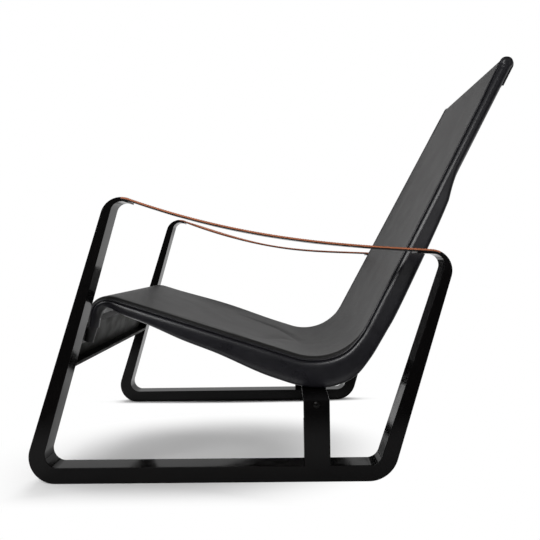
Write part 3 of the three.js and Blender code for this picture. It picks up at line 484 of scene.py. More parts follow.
print("a 90 degree corner of radius 10 is", round(Arc((0j, 1 + 0j), (10 + 0j, 1j), 10).length, 2), "mm")

# %% [markdown]
# ## Making solids from drawings
#
# A sharp mesh edge never catches the light, so each drawing is carried across the chair with its rims
# rounded: a few rings step in along a quarter circle at both ends. The rings are skinned with faces,
# and the shading normals are weighted by face size, so broad faces stay flat and only the rims turn.

# %% Skin rings of points, and carry a drawing across
RIM_STEPS = 3


def smooth_shading(mesh, sharp=35.0):
    mesh.shade_smooth()
    mesh.set_sharp_from_angle(angle=math.radians(sharp))


def modify(piece, kind, **settings):
    modifier = piece.modifiers.new(kind.lower(), kind)
    for name, value in settings.items():
        setattr(modifier, name, value)
    return modifier


def settle(piece):
    """Replaces a piece's mesh with what its modifiers make of it."""
    graph = bpy.context.evaluated_depsgraph_get()
    made = bpy.data.meshes.new_from_object(piece.evaluated_get(graph), depsgraph=graph)
    piece.modifiers.clear()
    piece.data = made
    made.name = piece.name
    return piece


def add_piece(name, points, faces, finish, weighted=False):
    mesh = bpy.data.meshes.new(name)
    mesh.from_pydata(points, [], faces)
    shell = bmesh.new()
    shell.from_mesh(mesh)
    bmesh.ops.recalc_face_normals(shell, faces=shell.faces)
    shell.to_mesh(mesh)
    shell.free()
    smooth_shading(mesh)
    mesh.materials.append(finish)
    piece = in_scene(name, mesh)
    if weighted:
        modify(piece, "WEIGHTED_NORMAL", keep_sharp=True)
        settle(piece)
    return piece


def ring_faces(rings, size):
    faces = []
    for a in range(0, (rings - 1) * size, size):
        b = a + size
        faces += [(a + j, a + (j + 1) % size, b + (j + 1) % size, b + j) for j in range(size)]
    return faces


def loft(name, rings, finish, weighted=False):
    """A closed skin over rings of points, with flat ends."""
    size = len(rings[0])
    ends = [tuple(range(size)), tuple(range((len(rings) - 1) * size, len(rings) * size))]
    points = [spot for ring in rings for spot in ring]
    return add_piece(name, points, ring_faces(len(rings), size) + ends, finish, weighted)


def carry(name, drawing, place, first, last, rim, finish):
    """A drawing carried from first to last, with rounded rims. place turns both into a point."""
    rims = [i / RIM_STEPS * math.pi / 2 for i in range(RIM_STEPS + 1)]
    levels = [(first + rim * (1 - math.cos(a)), rim * (1 - math.sin(a))) for a in rims]
    levels += [(first + last - level, inset) for level, inset in reversed(levels)]
    turns = sum(cross(a, b) for a, b in zip(drawing, drawing[1:] + drawing[:1]))
    inward = math.copysign(1.0, turns)
    rings = []
    for level, inset in levels:
        outline = offset(drawing, inset * inward, closed=True) if inset else drawing
        rings.append([place(spot, level) for spot in outline])
    return loft(name, rings, finish, weighted=True)


print("rounded rims of", RIM_STEPS, "steps")

# %% [markdown]
# ## Runners
#
# Each side of the chair stands on a runner: one flat loop of steel band, 47 mm wide, which is foot rail,
# front post and rear post in one. The posts taper towards their heads, and each head is rolled over into
# a thin tongue that carries the end of the arm strap. The outline is drawn with true arcs.

# %% Draw the runner's edges
WIDTH, BAND = 685.0, 47.0
FOOT_LENGTH, RAIL_HEIGHT = 712.0, 31.0
FRONT_LEAN, REAR_LEAN = 18.0, 16.8
FRONT_POST, REAR_POST = 587.0, 454.0
POST_FOOT, POST_HEAD = 31.7, 16.0
TOE_FRONT, TOE_REAR, RAIL_INNER, HEAD_OUTER, HEAD_INNER = 51.0, 58.0, 25.0, 40.0, 21.0
FRONT_TONGUE, REAR_TONGUE, TONGUE, STRAP, GAP = 44.0, 78.0, 3.2, 5.0, 0.3
ARM_FRONT_SLOPE, ARM_REAR_SLOPE, REAR_WRAP = 20.0, 4.0, 24.0

floor_edge, rail_top = (0j, heading(0)), (RAIL_HEIGHT * 1j, heading(180))
front_up, rear_up = (0j, heading(90 - FRONT_LEAN)), (FOOT_LENGTH + 0j, heading(90 - REAR_LEAN))
front_head, rear_head = front_up[1] * FRONT_POST, rear_up[0] + rear_up[1] * REAR_POST
front_depth, rear_depth = -1j * front_up[1], 1j * rear_up[1]


def edge_through(start, end):
    return start, (end - start) / abs(end - start)


front_inner = edge_through(front_depth * POST_FOOT, front_head + front_depth * POST_HEAD)
rear_inner = edge_through(rear_head + rear_depth * POST_HEAD, rear_up[0] + rear_depth * POST_FOOT)
front_bed = (front_head, heading(180 - ARM_FRONT_SLOPE))
rear_bed = (rear_head, heading(180 - ARM_REAR_SLOPE))
front_under = turned(shifted(front_bed, STRAP + GAP + TONGUE))
rear_under = turned(shifted(rear_bed, STRAP + GAP + TONGUE))
front_tip = (front_head - front_bed[1] * FRONT_TONGUE, heading(90 - ARM_FRONT_SLOPE))
rear_tip = (rear_head + rear_bed[1] * REAR_TONGUE, heading(270 - ARM_REAR_SLOPE))
front_roll, rear_roll = Arc(front_bed, turned(front_up), HEAD_OUTER), Arc(rear_up, rear_bed, HEAD_OUTER)
print("front head at", front_head, "rear head at", rear_head)

# %% [markdown]
# The strap's upper line comes next, because the heads are cut away below it. It leaves the crest of the
# front head, hangs in one slack curve and goes a little way round the rear head. The free part is a Bezier
# curve that starts and ends in the directions of the two tongues, and the longer its handles, the more
# it hangs.

# %% Draw the strap's line
FRONT_REACH, REAR_REACH = 0.4, 0.33


def slack_line(start, end, steps=60):
    span = end.real - start.real
    leave = start + FRONT_REACH * span * complex(1, -math.tan(math.radians(ARM_FRONT_SLOPE)))
    arrive = end - REAR_REACH * span * complex(1, -math.tan(math.radians(ARM_REAR_SLOPE)))
    shares = [i / steps for i in range(steps + 1)]
    return [
        start * (1 - t) ** 3 + 3 * leave * t * (1 - t) ** 2 + 3 * arrive * t * t * (1 - t) + end * t ** 3
        for t in shares
    ]


crest_share = math.radians(ARM_FRONT_SLOPE) / front_roll.sweep
wrap_share = 1 - math.radians(REAR_WRAP) / rear_roll.sweep
strap_line = front_roll.points(crest_share, 0.0)[:-1]
strap_line += slack_line(front_roll.start, rear_roll.end)[:-1]
strap_line += rear_roll.points(1.0, wrap_share)

# %% Close the runner's outline and carry it across
RUNNER_RIM, BED_START, NEAREST = 1.1, 0.5, 0.05
bed = offset(strap_line, -(STRAP + GAP))
front_floor = [spot for spot in bed if dot(front_bed[1], spot - front_tip[0]) > BED_START]
rear_floor = [spot for spot in bed if dot(rear_bed[1], rear_tip[0] - spot) > BED_START]

runner_outline = [
    *Arc(floor_edge, rear_up, TOE_REAR).points(),
    *rear_roll.points(0.0, wrap_share),
    *reversed(rear_floor),
    meet(shifted(rear_bed, STRAP + GAP), rear_tip),
    meet(rear_under, rear_tip),
    *Arc(rear_under, rear_inner, HEAD_INNER).points(),
    *Arc(rear_inner, rail_top, RAIL_INNER).points(),
    *Arc(rail_top, front_inner, RAIL_INNER).points(),
    *Arc(front_inner, front_under, HEAD_INNER).points(),
    meet(front_under, front_tip),
    meet(shifted(front_bed, STRAP + GAP), front_tip),
    *reversed(front_floor),
    *front_roll.points(crest_share, 1.0),
    *Arc(turned(front_up), floor_edge, TOE_FRONT).points(),
]


def cleaned(points):
    return [spot for i, spot in enumerate(points) if abs(spot - points[i - 1]) > NEAREST]


runner_outline = cleaned(runner_outline)
pieces = {}
for name, side in SIDES.items():
    ends = sorted((side * (WIDTH / 2 - BAND), side * WIDTH / 2))
    pieces[f"{name}_runner"] = carry(
        f"{name}_steel_runner", runner_outline, at, *ends, RUNNER_RIM, black_lacquer,
    )
print("runner of", len(runner_outline), "points")

# %% [markdown]
# ## Arm straps
#
# Each arm is two layers of thick leather glued and sewn together: tan on top and a near-black layer
# below, whose colour is painted shade that stands in for the shadow under the strap. Seen from the side
# the two edges show as a tan line over a black one. Both layers are strips of the same line, one under
# the other, with softly rounded edges. Two straps never stretch alike: the right one hangs a few
# millimetres lower halfway along, and rolls inward a little behind its front head.

# %% Make the two layers of each strap
TAN_LAYER, STRAP_MARGIN, STRAP_RIM, SHADOW_LAYER_RIM = 3.0, 0.6, 0.9, 0.72
LEFT_HANG, RIGHT_HANG, RIGHT_ROLL, ROLL_FADE = -1.0, 5.4, 1.6, 6
strap_width, runner_middle = BAND - 2 * STRAP_MARGIN, (WIDTH - BAND) / 2
lower_line = offset(strap_line, -TAN_LAYER)
tan_drawing = strap_line + lower_line[::-1]
shadow_layer_drawing = lower_line + offset(strap_line, -STRAP)[::-1]


def on_strap(spot, across):
    """A point of the strap's drawing, at a place across. The right strap hangs lower and rolls in."""
    share = share_of(spot.real, front_roll.start.real, rear_roll.end.real)
    hang = math.sin(math.pi * share) ** 2
    if across < 0:
        return at(spot - 1j * hang * LEFT_HANG, across)
    roll = RIGHT_ROLL * share * (1 - share) ** ROLL_FADE
    return at(spot + 1j * (roll * (across - runner_middle) - hang * RIGHT_HANG), across)


for name, side in SIDES.items():
    ends = side * runner_middle - strap_width / 2, side * runner_middle + strap_width / 2
    pieces[f"{name}_strap"] = carry(
        f"{name}_strap_top", tan_drawing, on_strap, *ends, STRAP_RIM, tan_leather,
    )
    # the lower layer is near-black as painted shade for the strap's underside
    pieces[f"{name}_lining"] = carry(
        f"{name}_strap_shadow_layer", shadow_layer_drawing, on_strap, *ends, SHADOW_LAYER_RIM, dark_lining,
    )
print("strap layers", strap_width, "mm wide")

# %% [markdown]
# ## Line of the seat
#
# Everything soft follows one line, the middle of the side tubes: up from the front drop, round a tight
# bend, down the seat, round a wide bend and up the back. A place on it is given by its distance from the
# lower end. Each station has a point and the direction that points out of the seat.

# %% Draw the seat line
SEAT_CORNER, SEAT_TILT, SEAT_RUN = 137 + 349j, 18.2, 530.0
BACK_RECLINE, BACK_RUN, FRONT_DROP = 28.3, 730.0, 93.0
FRONT_BEND, WIDE_BEND = 32.0, 136.0
SEAT_HALF, TOP_HALF = 248.0, 206.0

drop = (SEAT_CORNER, heading(90 - FRONT_LEAN))
seat = (SEAT_CORNER, heading(-SEAT_TILT))
back = (SEAT_CORNER + seat[1] * SEAT_RUN, heading(90 - BACK_RECLINE))
back_top = back[0] + back[1] * BACK_RUN
drop_end = SEAT_CORNER - drop[1] * FRONT_DROP
front_bend, wide_bend = Arc(drop, seat, FRONT_BEND), Arc(seat, back, WIDE_BEND)
front_bend_at = abs(front_bend.start - drop_end)
seat_at = front_bend_at + front_bend.length
bend_at = seat_at + abs(wide_bend.start - front_bend.end)
back_at = bend_at + wide_bend.length
line_end = back_at + abs(back_top - wide_bend.end)


def station(distance):
    """The point on the seat line and the direction out of the seat."""
    def on_arc(arc, reach):
        spot = arc.point(reach / arc.length)
        return spot, (spot - arc.center) / abs(spot - arc.center) * -math.copysign(1.0, arc.sweep)

    if distance < front_bend_at:
        return drop_end + drop[1] * distance, 1j * drop[1]
    if distance < seat_at:
        return on_arc(front_bend, distance - front_bend_at)
    if distance < bend_at:
        return front_bend.end + seat[1] * (distance - seat_at), 1j * seat[1]
    if distance < back_at:
        return on_arc(wide_bend, distance - bend_at)
    return wide_bend.end + back[1] * (distance - back_at), 1j * back[1]


def half_width(distance):
    return blend(SEAT_HALF, TOP_HALF, share_of(distance, back_at, line_end))


def spread(first, last, step):
    count = max(1, round((last - first) / step))
    return [blend(first, last, i / count) for i in range(count)]


def stops(first, last, fine=2.6, coarse=9.0):
    """Distances along the line, close together in the front bend."""
    marks = [first, *(m for m in (front_bend_at, seat_at, bend_at, back_at) if first < m < last), last]
    gaps = [fine if a < seat_at else coarse for a in marks[:-1]]
    return [spot for a, b, gap in zip(marks, marks[1:], gaps) for spot in spread(a, b, gap)] + [last]


print("seat line", round(line_end), "mm long, wide bend from", round(bend_at), "to", round(back_at))

# %% [markdown]
# ## Steel under the leather
#
# Two bent tubes carry the panel's edges, and a cheek plate hangs below each tube where the side is deep.
# Little of them shows, but from below the tube ends and the cheeks do, so the tubes get open ends and
# both follow the same smooth line as the leather.

# %% Bend the side tubes
TUBE, TUBE_WALL = 10.0, 2.0
TUBE_SIDES, TUBE_MOUTH = 24, 8.0


def round_tube(spot, normal, distance, side, points):
    """Points round a side tube. Their real parts lead out of the seat, the imaginary ones outward."""
    half = half_width(distance)
    return [at(spot + normal * p.real, side * (half + p.imag)) for p in points]


def hoop(distance, side, radius):
    return round_tube(*station(distance), distance, side, circle(radius, TUBE_SIDES))


for name, side in SIDES.items():
    bore = TUBE - TUBE_WALL
    rings = [hoop(TUBE_MOUTH, side, bore), hoop(0.0, side, bore)]
    rings += [hoop(d, side, TUBE) for d in stops(0.0, line_end - TUBE - GAP)]
    pieces[f"{name}_side_tube"] = loft(f"{name}_frame_tube", rings, satin_steel)
print("tubes of", TUBE_SIDES, "sides")

# %% [markdown]
# The side of the seat is slim at the front, grows deep under the bend and is slim again at the upper
# back. The depths below were measured on the photograph, and a smooth curve runs through them. It is
# the curve that the CAD uses, but for a little more leather in the hollow of the front bend.

# %% The depth of the side
LEATHER, LEATHER_GAP = 1.8, 0.6
SKIN_INNER = TUBE + LEATHER_GAP
SKIN = SKIN_INNER + LEATHER
SLIM = 2 * SKIN
SIDE_DEPTHS = [
    # distance from the start of the seat, and depth below the panel's crest
    (70, 35.0), (155, 44.5), (228, 49.0), (333, 61.0), (398, 63.0), (448, 66.5), (488, 62.5),
    (523, 50.0), (558, 42.5), (608, 44.0), (718, 42.0), (828, 38.0), (873, 35.0), (983, SLIM),
]
FRONT_DEPTHS = [(front_bend_at, SLIM), (seat_at - 14, 29.5), (seat_at + 22, 33.5)]
depth_knots = [(0.0, SLIM), *FRONT_DEPTHS, *((seat_at + d, v) for d, v in SIDE_DEPTHS), (line_end, SLIM)]


def side_depth(distance):
    """The depth on a smooth curve through all the knots, whose slopes follow the knots beside them."""
    i = max(k for k in range(len(depth_knots) - 1) if depth_knots[k][0] <= distance or k == 0)
    (start, first), (end, last) = depth_knots[i], depth_knots[i + 1]
    span, rise = end - start, last - first
    before = depth_knots[i - 1] if i else (start - span, last)
    after = depth_knots[i + 2] if i + 2 < len(depth_knots) else (end + span, first)
    leave = (rise + span * (first - before[1]) / (start - before[0])) / 2
    arrive = (rise + span * (after[1] - last) / (after[0] - end)) / 2
    share = (distance - start) / span
    curved = share * (1 - share) * (leave * (1 - share) - arrive * share)
    return max(SLIM, blend(first, last, eased(share)) + curved)


print("deepest", round(max(side_depth(d) for d in stops(seat_at, line_end)), 1), "mm")

# %% Cut the cheek plates
CHEEK, CHEEK_OFFSET, CHEEK_FROM, CHEEK_TO = 3.0, 6.0, 66.0, 838.0
FOLD_HALF = CHEEK / 2 + LEATHER_GAP + LEATHER


def cheek_base(depth):
    return -(depth - SKIN - FOLD_HALF)


for name, side in SIDES.items():
    rings = []
    for distance in stops(seat_at + CHEEK_FROM, seat_at + CHEEK_TO):
        near, far = CHEEK_OFFSET - CHEEK / 2, CHEEK_OFFSET + CHEEK / 2
        high = -math.sqrt(TUBE ** 2 - near ** 2) - GAP
        low = cheek_base(side_depth(distance))
        corners = [complex(high, near), complex(high, far), complex(low, far), complex(low, near)]
        rings.append(round_tube(*station(distance), distance, side, corners))
    pieces[f"{name}_cheek_plate"] = loft(f"{name}_cheek", rings, satin_steel, weighted=True)
print("cheeks", CHEEK, "mm thick")

# %% [markdown]
# ## Seat panel
#
# The panel is one hide from the front edge to the top, sewn to the side covers and turned over the top
# tube, with a short hem down the rear. Leather that hangs between two rails sags, most in the middle,
# and where the seat turns up into the back the spare leather gathers in a few long creases. A cloth
# simulation would wander from the photograph, so the sag and the creases are written as heights on a
# fine grid: each crease is a drawn line, steep on the camera's side and gentle on the other. Along the
# right edge of the seat the leather also stands up in a low wave.

# %% Write the sag and the creases
PANEL_SAG, PLATE_RUN, CREASE_SPREAD = 14.0, 20.0, 3.0
CREASES = [
    # height, width, and points of the line: distance along the panel, and place across (right is positive)
    (-3.8, 6.5, [
        (325, 150), (380, 147), (415, 144), (449, 138), (481, 108), (507, 52), (519, 3), (527, -40),
    ]),
    (-3.4, 6.0, [(400, -190), (428, -129), (452, -49), (474, -3), (497, 15), (525, 8)]),
    (1.6, 34.0, [(635, 215), (649, 184), (735, 27), (797, -199)]),
    (-1.2, 30.0, [(895, 190), (1025, 170), (1125, 150), (1205, 120)]),
    (0.9, 22.0, [(175, 120), (255, 60), (335, -20), (425, -60)]),
]


def sag(distance):
    return PANEL_SAG * math.sin(math.pi * share_of(distance, seat_at + PLATE_RUN, line_end))


def crease_height(along, across):
    """The height that the creases add at every point of a grid."""
    total = np.zeros_like(along)
    for height, width, line in CREASES:
        knots = [complex(*spot) for spot in line]
        lengths = [abs(b - a) for a, b in zip(knots, knots[1:])]
        nearest = np.full_like(along, np.inf)
        signed, fade = np.zeros_like(along), np.zeros_like(along)
        done = 0.0
        for start, end, length in zip(knots, knots[1:], lengths):
            # real parts lead along this stretch of the line, the imaginary ones away from it
            local = (along + 1j * across - start) * length / (end - start)
            run = np.clip(local.real, 0, length)
            away = np.abs(local - run)
            nearer = away < nearest
            nearest = np.where(nearer, away, nearest)
            signed = np.where(nearer, np.sign(local.imag) * away, signed)
            fade = np.where(nearer, np.sin(np.pi * (done + run) / sum(lengths)), fade)
            done += length
        reach = np.where(signed > 0, CREASE_SPREAD * width, width)
        total += height * fade * np.exp(-((signed / reach) ** 2))
    return total


print(len(CREASES), "creases")

# %% [markdown]
# The seam does not stay on top of the tube. Along the seat it lies low on the tube's outer shoulder, so
# the panel turns over the tube before it meets the side. Through the bend it climbs, and up the back it
# runs close to the crest, until it reaches the top corner. An angle round the tube says where it is.

# %% Draw the seam
PIPING, SEAM_MARGIN = 1.7, 0.7
SEAM_CLEAR = PIPING + SEAM_MARGIN
SEAM_GAP = math.asin(SEAM_CLEAR / SKIN)
SEAM_SEAT, SEAM_BACK, SEAM_TOP, SEAM_TOP_RUN = 66.0, 24.0, 20.0, 110.0
seam_knots = [
    ((bend_at + back_at) / 2, SEAM_SEAT), (back_at, SEAM_BACK),
    (line_end - SEAM_TOP_RUN, SEAM_TOP), (line_end - SKIN - GAP, 0.0),
]


def seam_angle(distance, turned_over=0.0):
    if turned_over or distance >= seam_knots[-1][0]:
        return 0.0
    if distance <= seam_knots[0][0]:
        return math.radians(SEAM_SEAT)
    pairs = zip(seam_knots, seam_knots[1:])
    (low, first), (high, last) = next(pair for pair in pairs if distance < pair[1][0])
    return math.radians(blend(first, last, eased(share_of(distance, low, high))))


print("seam at", [round(math.degrees(seam_angle(d))) for d in range(100, 1300, 200)], "degrees")

# %% Lay out the panel's grid
COVER_DROP, TOP_HEM, NOSE_PAD = 28.0, 45.0, 5.0
PANEL_COLUMNS, SEAM_ROLL, SEAM_WIDTH = 112, 1.1, 4.5
WRAP_STEPS, HEM_STEP = 18, 6.0
cover_from = front_bend_at - COVER_DROP


def padded_station(distance):
    """A station of the leather, which a thin padding lifts off the tubes at the front edge."""
    spot, normal = station(distance)
    share = share_of(distance, cover_from, seat_at)
    return spot + normal * NOSE_PAD * math.sin(math.pi * share) ** 2, normal


def top_wrap():
    """Stations over the top tube and down the rear: point, normal, distance and share of the turn."""
    spot, normal = station(line_end)
    over = []
    for i in range(1, WRAP_STEPS + 1):
        angle = math.pi * i / WRAP_STEPS
        outward = normal * math.cos(angle) + back[1] * math.sin(angle)
        over.append((spot, outward, line_end, i / WRAP_STEPS))
    for reach in spread(HEM_STEP, TOP_HEM, HEM_STEP) + [TOP_HEM]:
        lower, outward = station(line_end - reach)
        over.append((lower, -outward, line_end - reach, 1.0))
    return over


def panel_stations():
    return [(*padded_station(d), d, 0.0) for d in stops(cover_from, line_end, coarse=4.5)] + top_wrap()


print(len(panel_stations()), "rows of", PANEL_COLUMNS + 1, "points")


# %% Skin a sheet
def sheet_skin(name, outer, inner, finish, lining):
    """A thin closed skin from two grids of points, with a map in metres that follows it."""
    rows, columns = len(outer), len(outer[0])
    points = [spot for grid in (outer, inner) for row in grid for spot in row]
    half = rows * columns
    starts = [a for i in range(rows - 1) for a in range(i * columns, (i + 1) * columns - 1)]
    faces = [(a, a + 1, a + columns + 1, a + columns) for a in starts]
    inside = [tuple(half + k for k in reversed(quad)) for quad in faces]
    border = [(0, j) for j in range(columns - 1)] + [(i, columns - 1) for i in range(rows - 1)]
    border += [(rows - 1, j) for j in range(columns - 1, 0, -1)] + [(i, 0) for i in range(rows - 1, 0, -1)]
    loop = [i * columns + j for i, j in border]
    rim = [(b, a, half + a, half + b) for a, b in zip(loop, loop[1:] + loop[:1])]
    piece = add_piece(name, points, faces + inside + rim, finish)
    mesh = piece.data
    mesh.materials.append(lining)
    for face in mesh.polygons[len(faces):len(faces) + len(inside)]:
        face.material_index = 1
    grid = np.array([[tuple(spot) for spot in row] for row in outer])
    across = np.zeros((rows, columns))
    along = np.zeros((rows, columns))
    across[:, 1:] = np.cumsum(np.linalg.norm(np.diff(grid, axis=1), axis=2), axis=1)
    middle = np.linalg.norm(np.diff(grid[:, columns // 2], axis=0), axis=1)
    along[1:] = np.cumsum(middle)[:, None]
    across -= across[:, columns // 2][:, None]
    flat = np.stack([across.ravel(), along.ravel()], axis=1)
    corners = np.zeros(len(mesh.loops), int)
    mesh.loops.foreach_get("vertex_index", corners)
    layer = mesh.uv_layers.new(name=HIDE_MAP)
    layer.uv.foreach_set("vector", flat[corners % half].astype(np.float32).ravel())
    cut = float(np.mean(across[:, -1] - across[:, 0]) * along[-1, 0])
    return piece, (float(np.max(across[:, -1] - across[:, 0])), float(along[-1, 0])), cut


print("sheets carry a map named", HIDE_MAP)

# %% Make the panel
REAR_LAYER, COLUMN_CROWDING, CALM_REACH = LEATHER + GAP, 0.92, 30.0
WAVE_FROM, WAVE_RUN, WAVE_HEIGHT, WAVE_REACH = 20.0, 330.0, 4.5, 70.0


def seam_dip(edge_distance):
    """How far the skin rolls down into its seam, by the distance from the seam."""
    share = np.clip(1 - edge_distance / SEAM_WIDTH, 0, 1)
    return SEAM_ROLL * share ** 2


def panel_reach(distance, turned_over):
    """From the panel's middle to its edge, along the leather."""
    return half_width(distance) + SKIN * (seam_angle(distance, turned_over) - SEAM_GAP)


def edge_wave(distance, places, half):
    """The loose leather that stands up along the right edge of the seat."""
    share = share_of(distance - seat_at, WAVE_FROM, WAVE_FROM + WAVE_RUN)
    rise = np.clip((places - half + WAVE_REACH) / WAVE_REACH, 0, 1)
    return WAVE_HEIGHT * math.sin(math.pi * share) ** 2 * rise ** 2


def panel_spots(distance, turned_over, places, radius):
    """Across and raised distances of places on the leather: slack between the tubes, turned over them."""
    half = half_width(distance)
    flat = np.clip(places, -half, half)
    angle = (places - flat) / SKIN
    hang = 0.0 if turned_over else sag(distance)
    raised = radius * np.cos(angle) + REAR_LAYER * turned_over - hang * (1 - (flat / half) ** 2)
    return flat + radius * np.sin(angle), raised + edge_wave(distance, places, half) * np.cos(angle)


def panel_rows():
    turns = np.linspace(-1, 1, PANEL_COLUMNS + 1) * COLUMN_CROWDING * math.pi / 2
    shares = np.sin(turns) / math.sin(turns[-1])
    outer, inner = [], []
    for spot, normal, distance, turned_over in panel_stations():
        reach = panel_reach(distance, turned_over)
        places = shares * reach
        calm = np.clip((half_width(distance) - np.abs(places)) / CALM_REACH, 0, 1)
        crease = 0.0 if turned_over else crease_height(np.full_like(places, distance), places) * calm
        upper = SKIN - seam_dip(reach - np.abs(places))
        for grid, radius in ((outer, upper), (inner, np.full_like(upper, SKIN_INNER))):
            across, raised = panel_spots(distance, turned_over, places, radius)
            grid.append([at(spot + normal * r, y) for r, y in zip(raised + crease, across)])
    return outer, inner


seat_panel, panel_flat, panel_area = sheet_skin("seat_hide", *panel_rows(), charcoal_leather, suede)
pieces["seat_panel"] = seat_panel
print("panel cut", [round(v, 3) for v in panel_flat], "m,", round(panel_area, 3), "square metres")

# %% [markdown]
# ## Side covers
#
# A narrow strip of blue-black leather covers each side. From the seam it rolls out over a thin padding,
# runs down the outer face, round the lower edge and a little way up inside. Where the side is slim it
# just wraps the tube. The deep section is a few corners cut round, the slim one is an arc, and the cover
# changes smoothly from one to the other.

# %% Draw the cover's section
COVER_HEM, ROLL_ANGLE, ROLL_STEPS = 6.0, 52.0, 16
SIDE_PAD, ROLL_DROP = (2.5, 7.3), (2.0, 12.0)  # up the back, and along the seat
SLIM_WRAP, HALF_WRAP, UNWRAP_DEPTH, DEEPEN_DEPTH = 250.0, 200.0, 3.0, 7.0


def softened(points, rounds=3, keep=0.25):
    """Corner cutting: each round replaces a corner by two points closer to its edges."""
    for _ in range(rounds):
        cut = [points[0]]
        for a, b in zip(points, points[1:]):
            cut += [blend(a, b, keep), blend(b, a, keep)]
        points = cut + [points[-1]]
    return points


def cover_section(distance, inset):
    """The cover seen along the seat line: real parts lead outward, the imaginary ones out of the seat."""
    depth, angle = side_depth(distance), seam_angle(distance)
    radius, half, base = SKIN - inset, FOLD_HALF - inset, cheek_base(depth)
    first = math.pi / 2 - angle - SEAM_GAP
    padded = share_of(math.degrees(angle), SEAM_BACK, SEAM_SEAT)
    face = CHEEK_OFFSET + half + blend(*SIDE_PAD, padded)
    start, roll_end = cmath.rect(radius, first), complex(face, -blend(*ROLL_DROP, padded))
    bulge = complex(face, start.imag - (face - start.real) / math.tan(math.radians(ROLL_ANGLE)))
    shares = [i / ROLL_STEPS for i in range(ROLL_STEPS)]
    roll = [start * (1 - t) ** 2 + 2 * bulge * t * (1 - t) + roll_end * t * t for t in shares]
    deep = roll + softened([
        roll_end,
        complex(face, base),
        complex(CHEEK_OFFSET, base - half),
        complex(CHEEK_OFFSET - half, base),
        complex(CHEEK_OFFSET - half, min(base + COVER_HEM, -SKIN_INNER)),
    ])
    unwrapped = share_of(depth - SLIM, 0.0, UNWRAP_DEPTH)
    deepened = share_of(depth - SLIM, UNWRAP_DEPTH, UNWRAP_DEPTH + DEEPEN_DEPTH)
    last = math.pi / 2 - math.radians(blend(SLIM_WRAP, HALF_WRAP, unwrapped))
    count = len(deep) - 1
    slim = [cmath.rect(radius, blend(first, last, i / count)) for i in range(count + 1)]
    return [blend(a, b, deepened) for a, b in zip(slim, deep)]


print("section of", len(cover_section(bend_at, 0.0)), "points")


# %% Make the side covers
def cover_rows(side):
    outer, inner = [], []
    for distance in stops(cover_from, line_end - SKIN - GAP, coarse=5.0):
        spot, normal = padded_station(distance)
        half, face = half_width(distance), cover_section(distance, 0.0)
        dips = seam_dip(np.array([abs(p - face[0]) for p in face]))
        rolled = [p - d * p / abs(p) for p, d in zip(face, dips)]
        for grid, section in ((outer, rolled), (inner, cover_section(distance, LEATHER))):
            grid.append([at(spot + normal * p.imag, side * (half + p.real)) for p in section])
    return outer, inner


covers = {}
for name, side in SIDES.items():
    covers[name] = sheet_skin(f"{name}_cover_hide", *cover_rows(side), blue_black_leather, suede)
    pieces[f"{name}_side_cover"] = covers[name][0]
    print(name, "cover cut", [round(v, 3) for v in covers[name][1]], "m")

# %% [markdown]
# ## Piping and top corners
#
# A thin leather piping is sewn into the seam and stands a little proud of it, which draws the fine double
# line between the panel and the side. At the two top corners a small leather cap closes the tube. The cap
# is two rounded tubes at right angles, melted into one skin by a voxel remesh and a little smoothing.

# %% Sew in the piping
PIPING_SIDES = 12


def piping_rings(side):
    rings = []
    for spot, normal, distance, turned_over in panel_stations():
        core = cmath.rect(SKIN_INNER + PIPING, seam_angle(distance, turned_over)) + REAR_LAYER * turned_over
        ring = [core + p for p in circle(PIPING, PIPING_SIDES)]
        rings.append(round_tube(spot, normal, distance, side, ring))
    return rings


for name, side in SIDES.items():
    pieces[f"{name}_piping"] = loft(f"{name}_seam_piping", piping_rings(side), round_leather)
print("piping", 2 * PIPING, "mm thick")

# %% Close the top corners
CAP_RADIUS, CAP_SLEEVE, CAP_ROUND, CAP_VOXEL = 12.55, 15.0, 7.0, 0.8
CAP_EASE, CAP_ROUNDS, CAP_SHARP = 0.5, 6, 60.0


def lathe(profile, place, count=32):
    """Rings round an axis from pairs of height and radius. place turns a height and a spot into a point."""
    return [[place(height, spot) for spot in circle(radius, count)] for height, radius in profile]


def rounded_end(first, last, radius, roundness, steps=6):
    turns = [i / steps * math.pi / 2 for i in range(steps + 1)]
    end = [(last - roundness * (1 - math.sin(a)), radius - roundness * (1 - math.cos(a))) for a in turns]
    return [(first, radius), *end]


def top_cap(name, side):
    lower = station(line_end - CAP_SLEEVE)[0]
    along_tube = edge_through(lower, back_top)[1]

    def in_cup(height, spot):
        return at(back_top + spot, side * height)

    def on_sleeve(height, spot):
        half = half_width(line_end - CAP_SLEEVE + height)
        return at(lower + along_tube * (height + 1j * spot.real), side * (half + max(spot.imag, SEAM_CLEAR)))

    cup = rounded_end(TOP_HALF + SEAM_CLEAR, TOP_HALF + SKIN, CAP_RADIUS, CAP_ROUND)
    cap = loft(name, lathe(cup, in_cup), round_leather)
    sleeve = loft("sleeve", lathe([(0.0, CAP_RADIUS), (CAP_SLEEVE, CAP_RADIUS)], on_sleeve), round_leather)
    modify(cap, "BOOLEAN", operation="UNION", object=sleeve, solver="EXACT")
    modify(cap, "REMESH", mode="VOXEL", voxel_size=CAP_VOXEL * MM)
    modify(cap, "SMOOTH", factor=CAP_EASE, iterations=CAP_ROUNDS)
    settle(cap)
    bpy.data.objects.remove(sleeve)
    smooth_shading(cap.data, CAP_SHARP)
    return cap


for name, side in SIDES.items():
    pieces[f"{name}_top_cap"] = top_cap(f"{name}_corner_cap", side)
print("caps of", len(pieces["left_top_cap"].data.polygons), "faces")

# %% [markdown]
# ## Front apron and its brackets
#
# A folded steel channel joins the two front posts under the seat's front edge. It leans with the posts,
# with a small lip at the top and a flange at the bottom that turns up at its end. Folded sheet is a line
# with rounded bends, given a thickness, so that is how it is drawn here.

# %% Fold the apron
APRON_SHEET, APRON_INSET, APRON_LOW, APRON_HIGH = 3.0, 2.0, 225.0, 300.0
APRON_LIP, APRON_FLANGE_LIP, APRON_BEND, SHEET_RIM = 5.0, 8.0, 1.2, 0.6
BEND_STEP, INNER_FACE = 15.0, 0.5


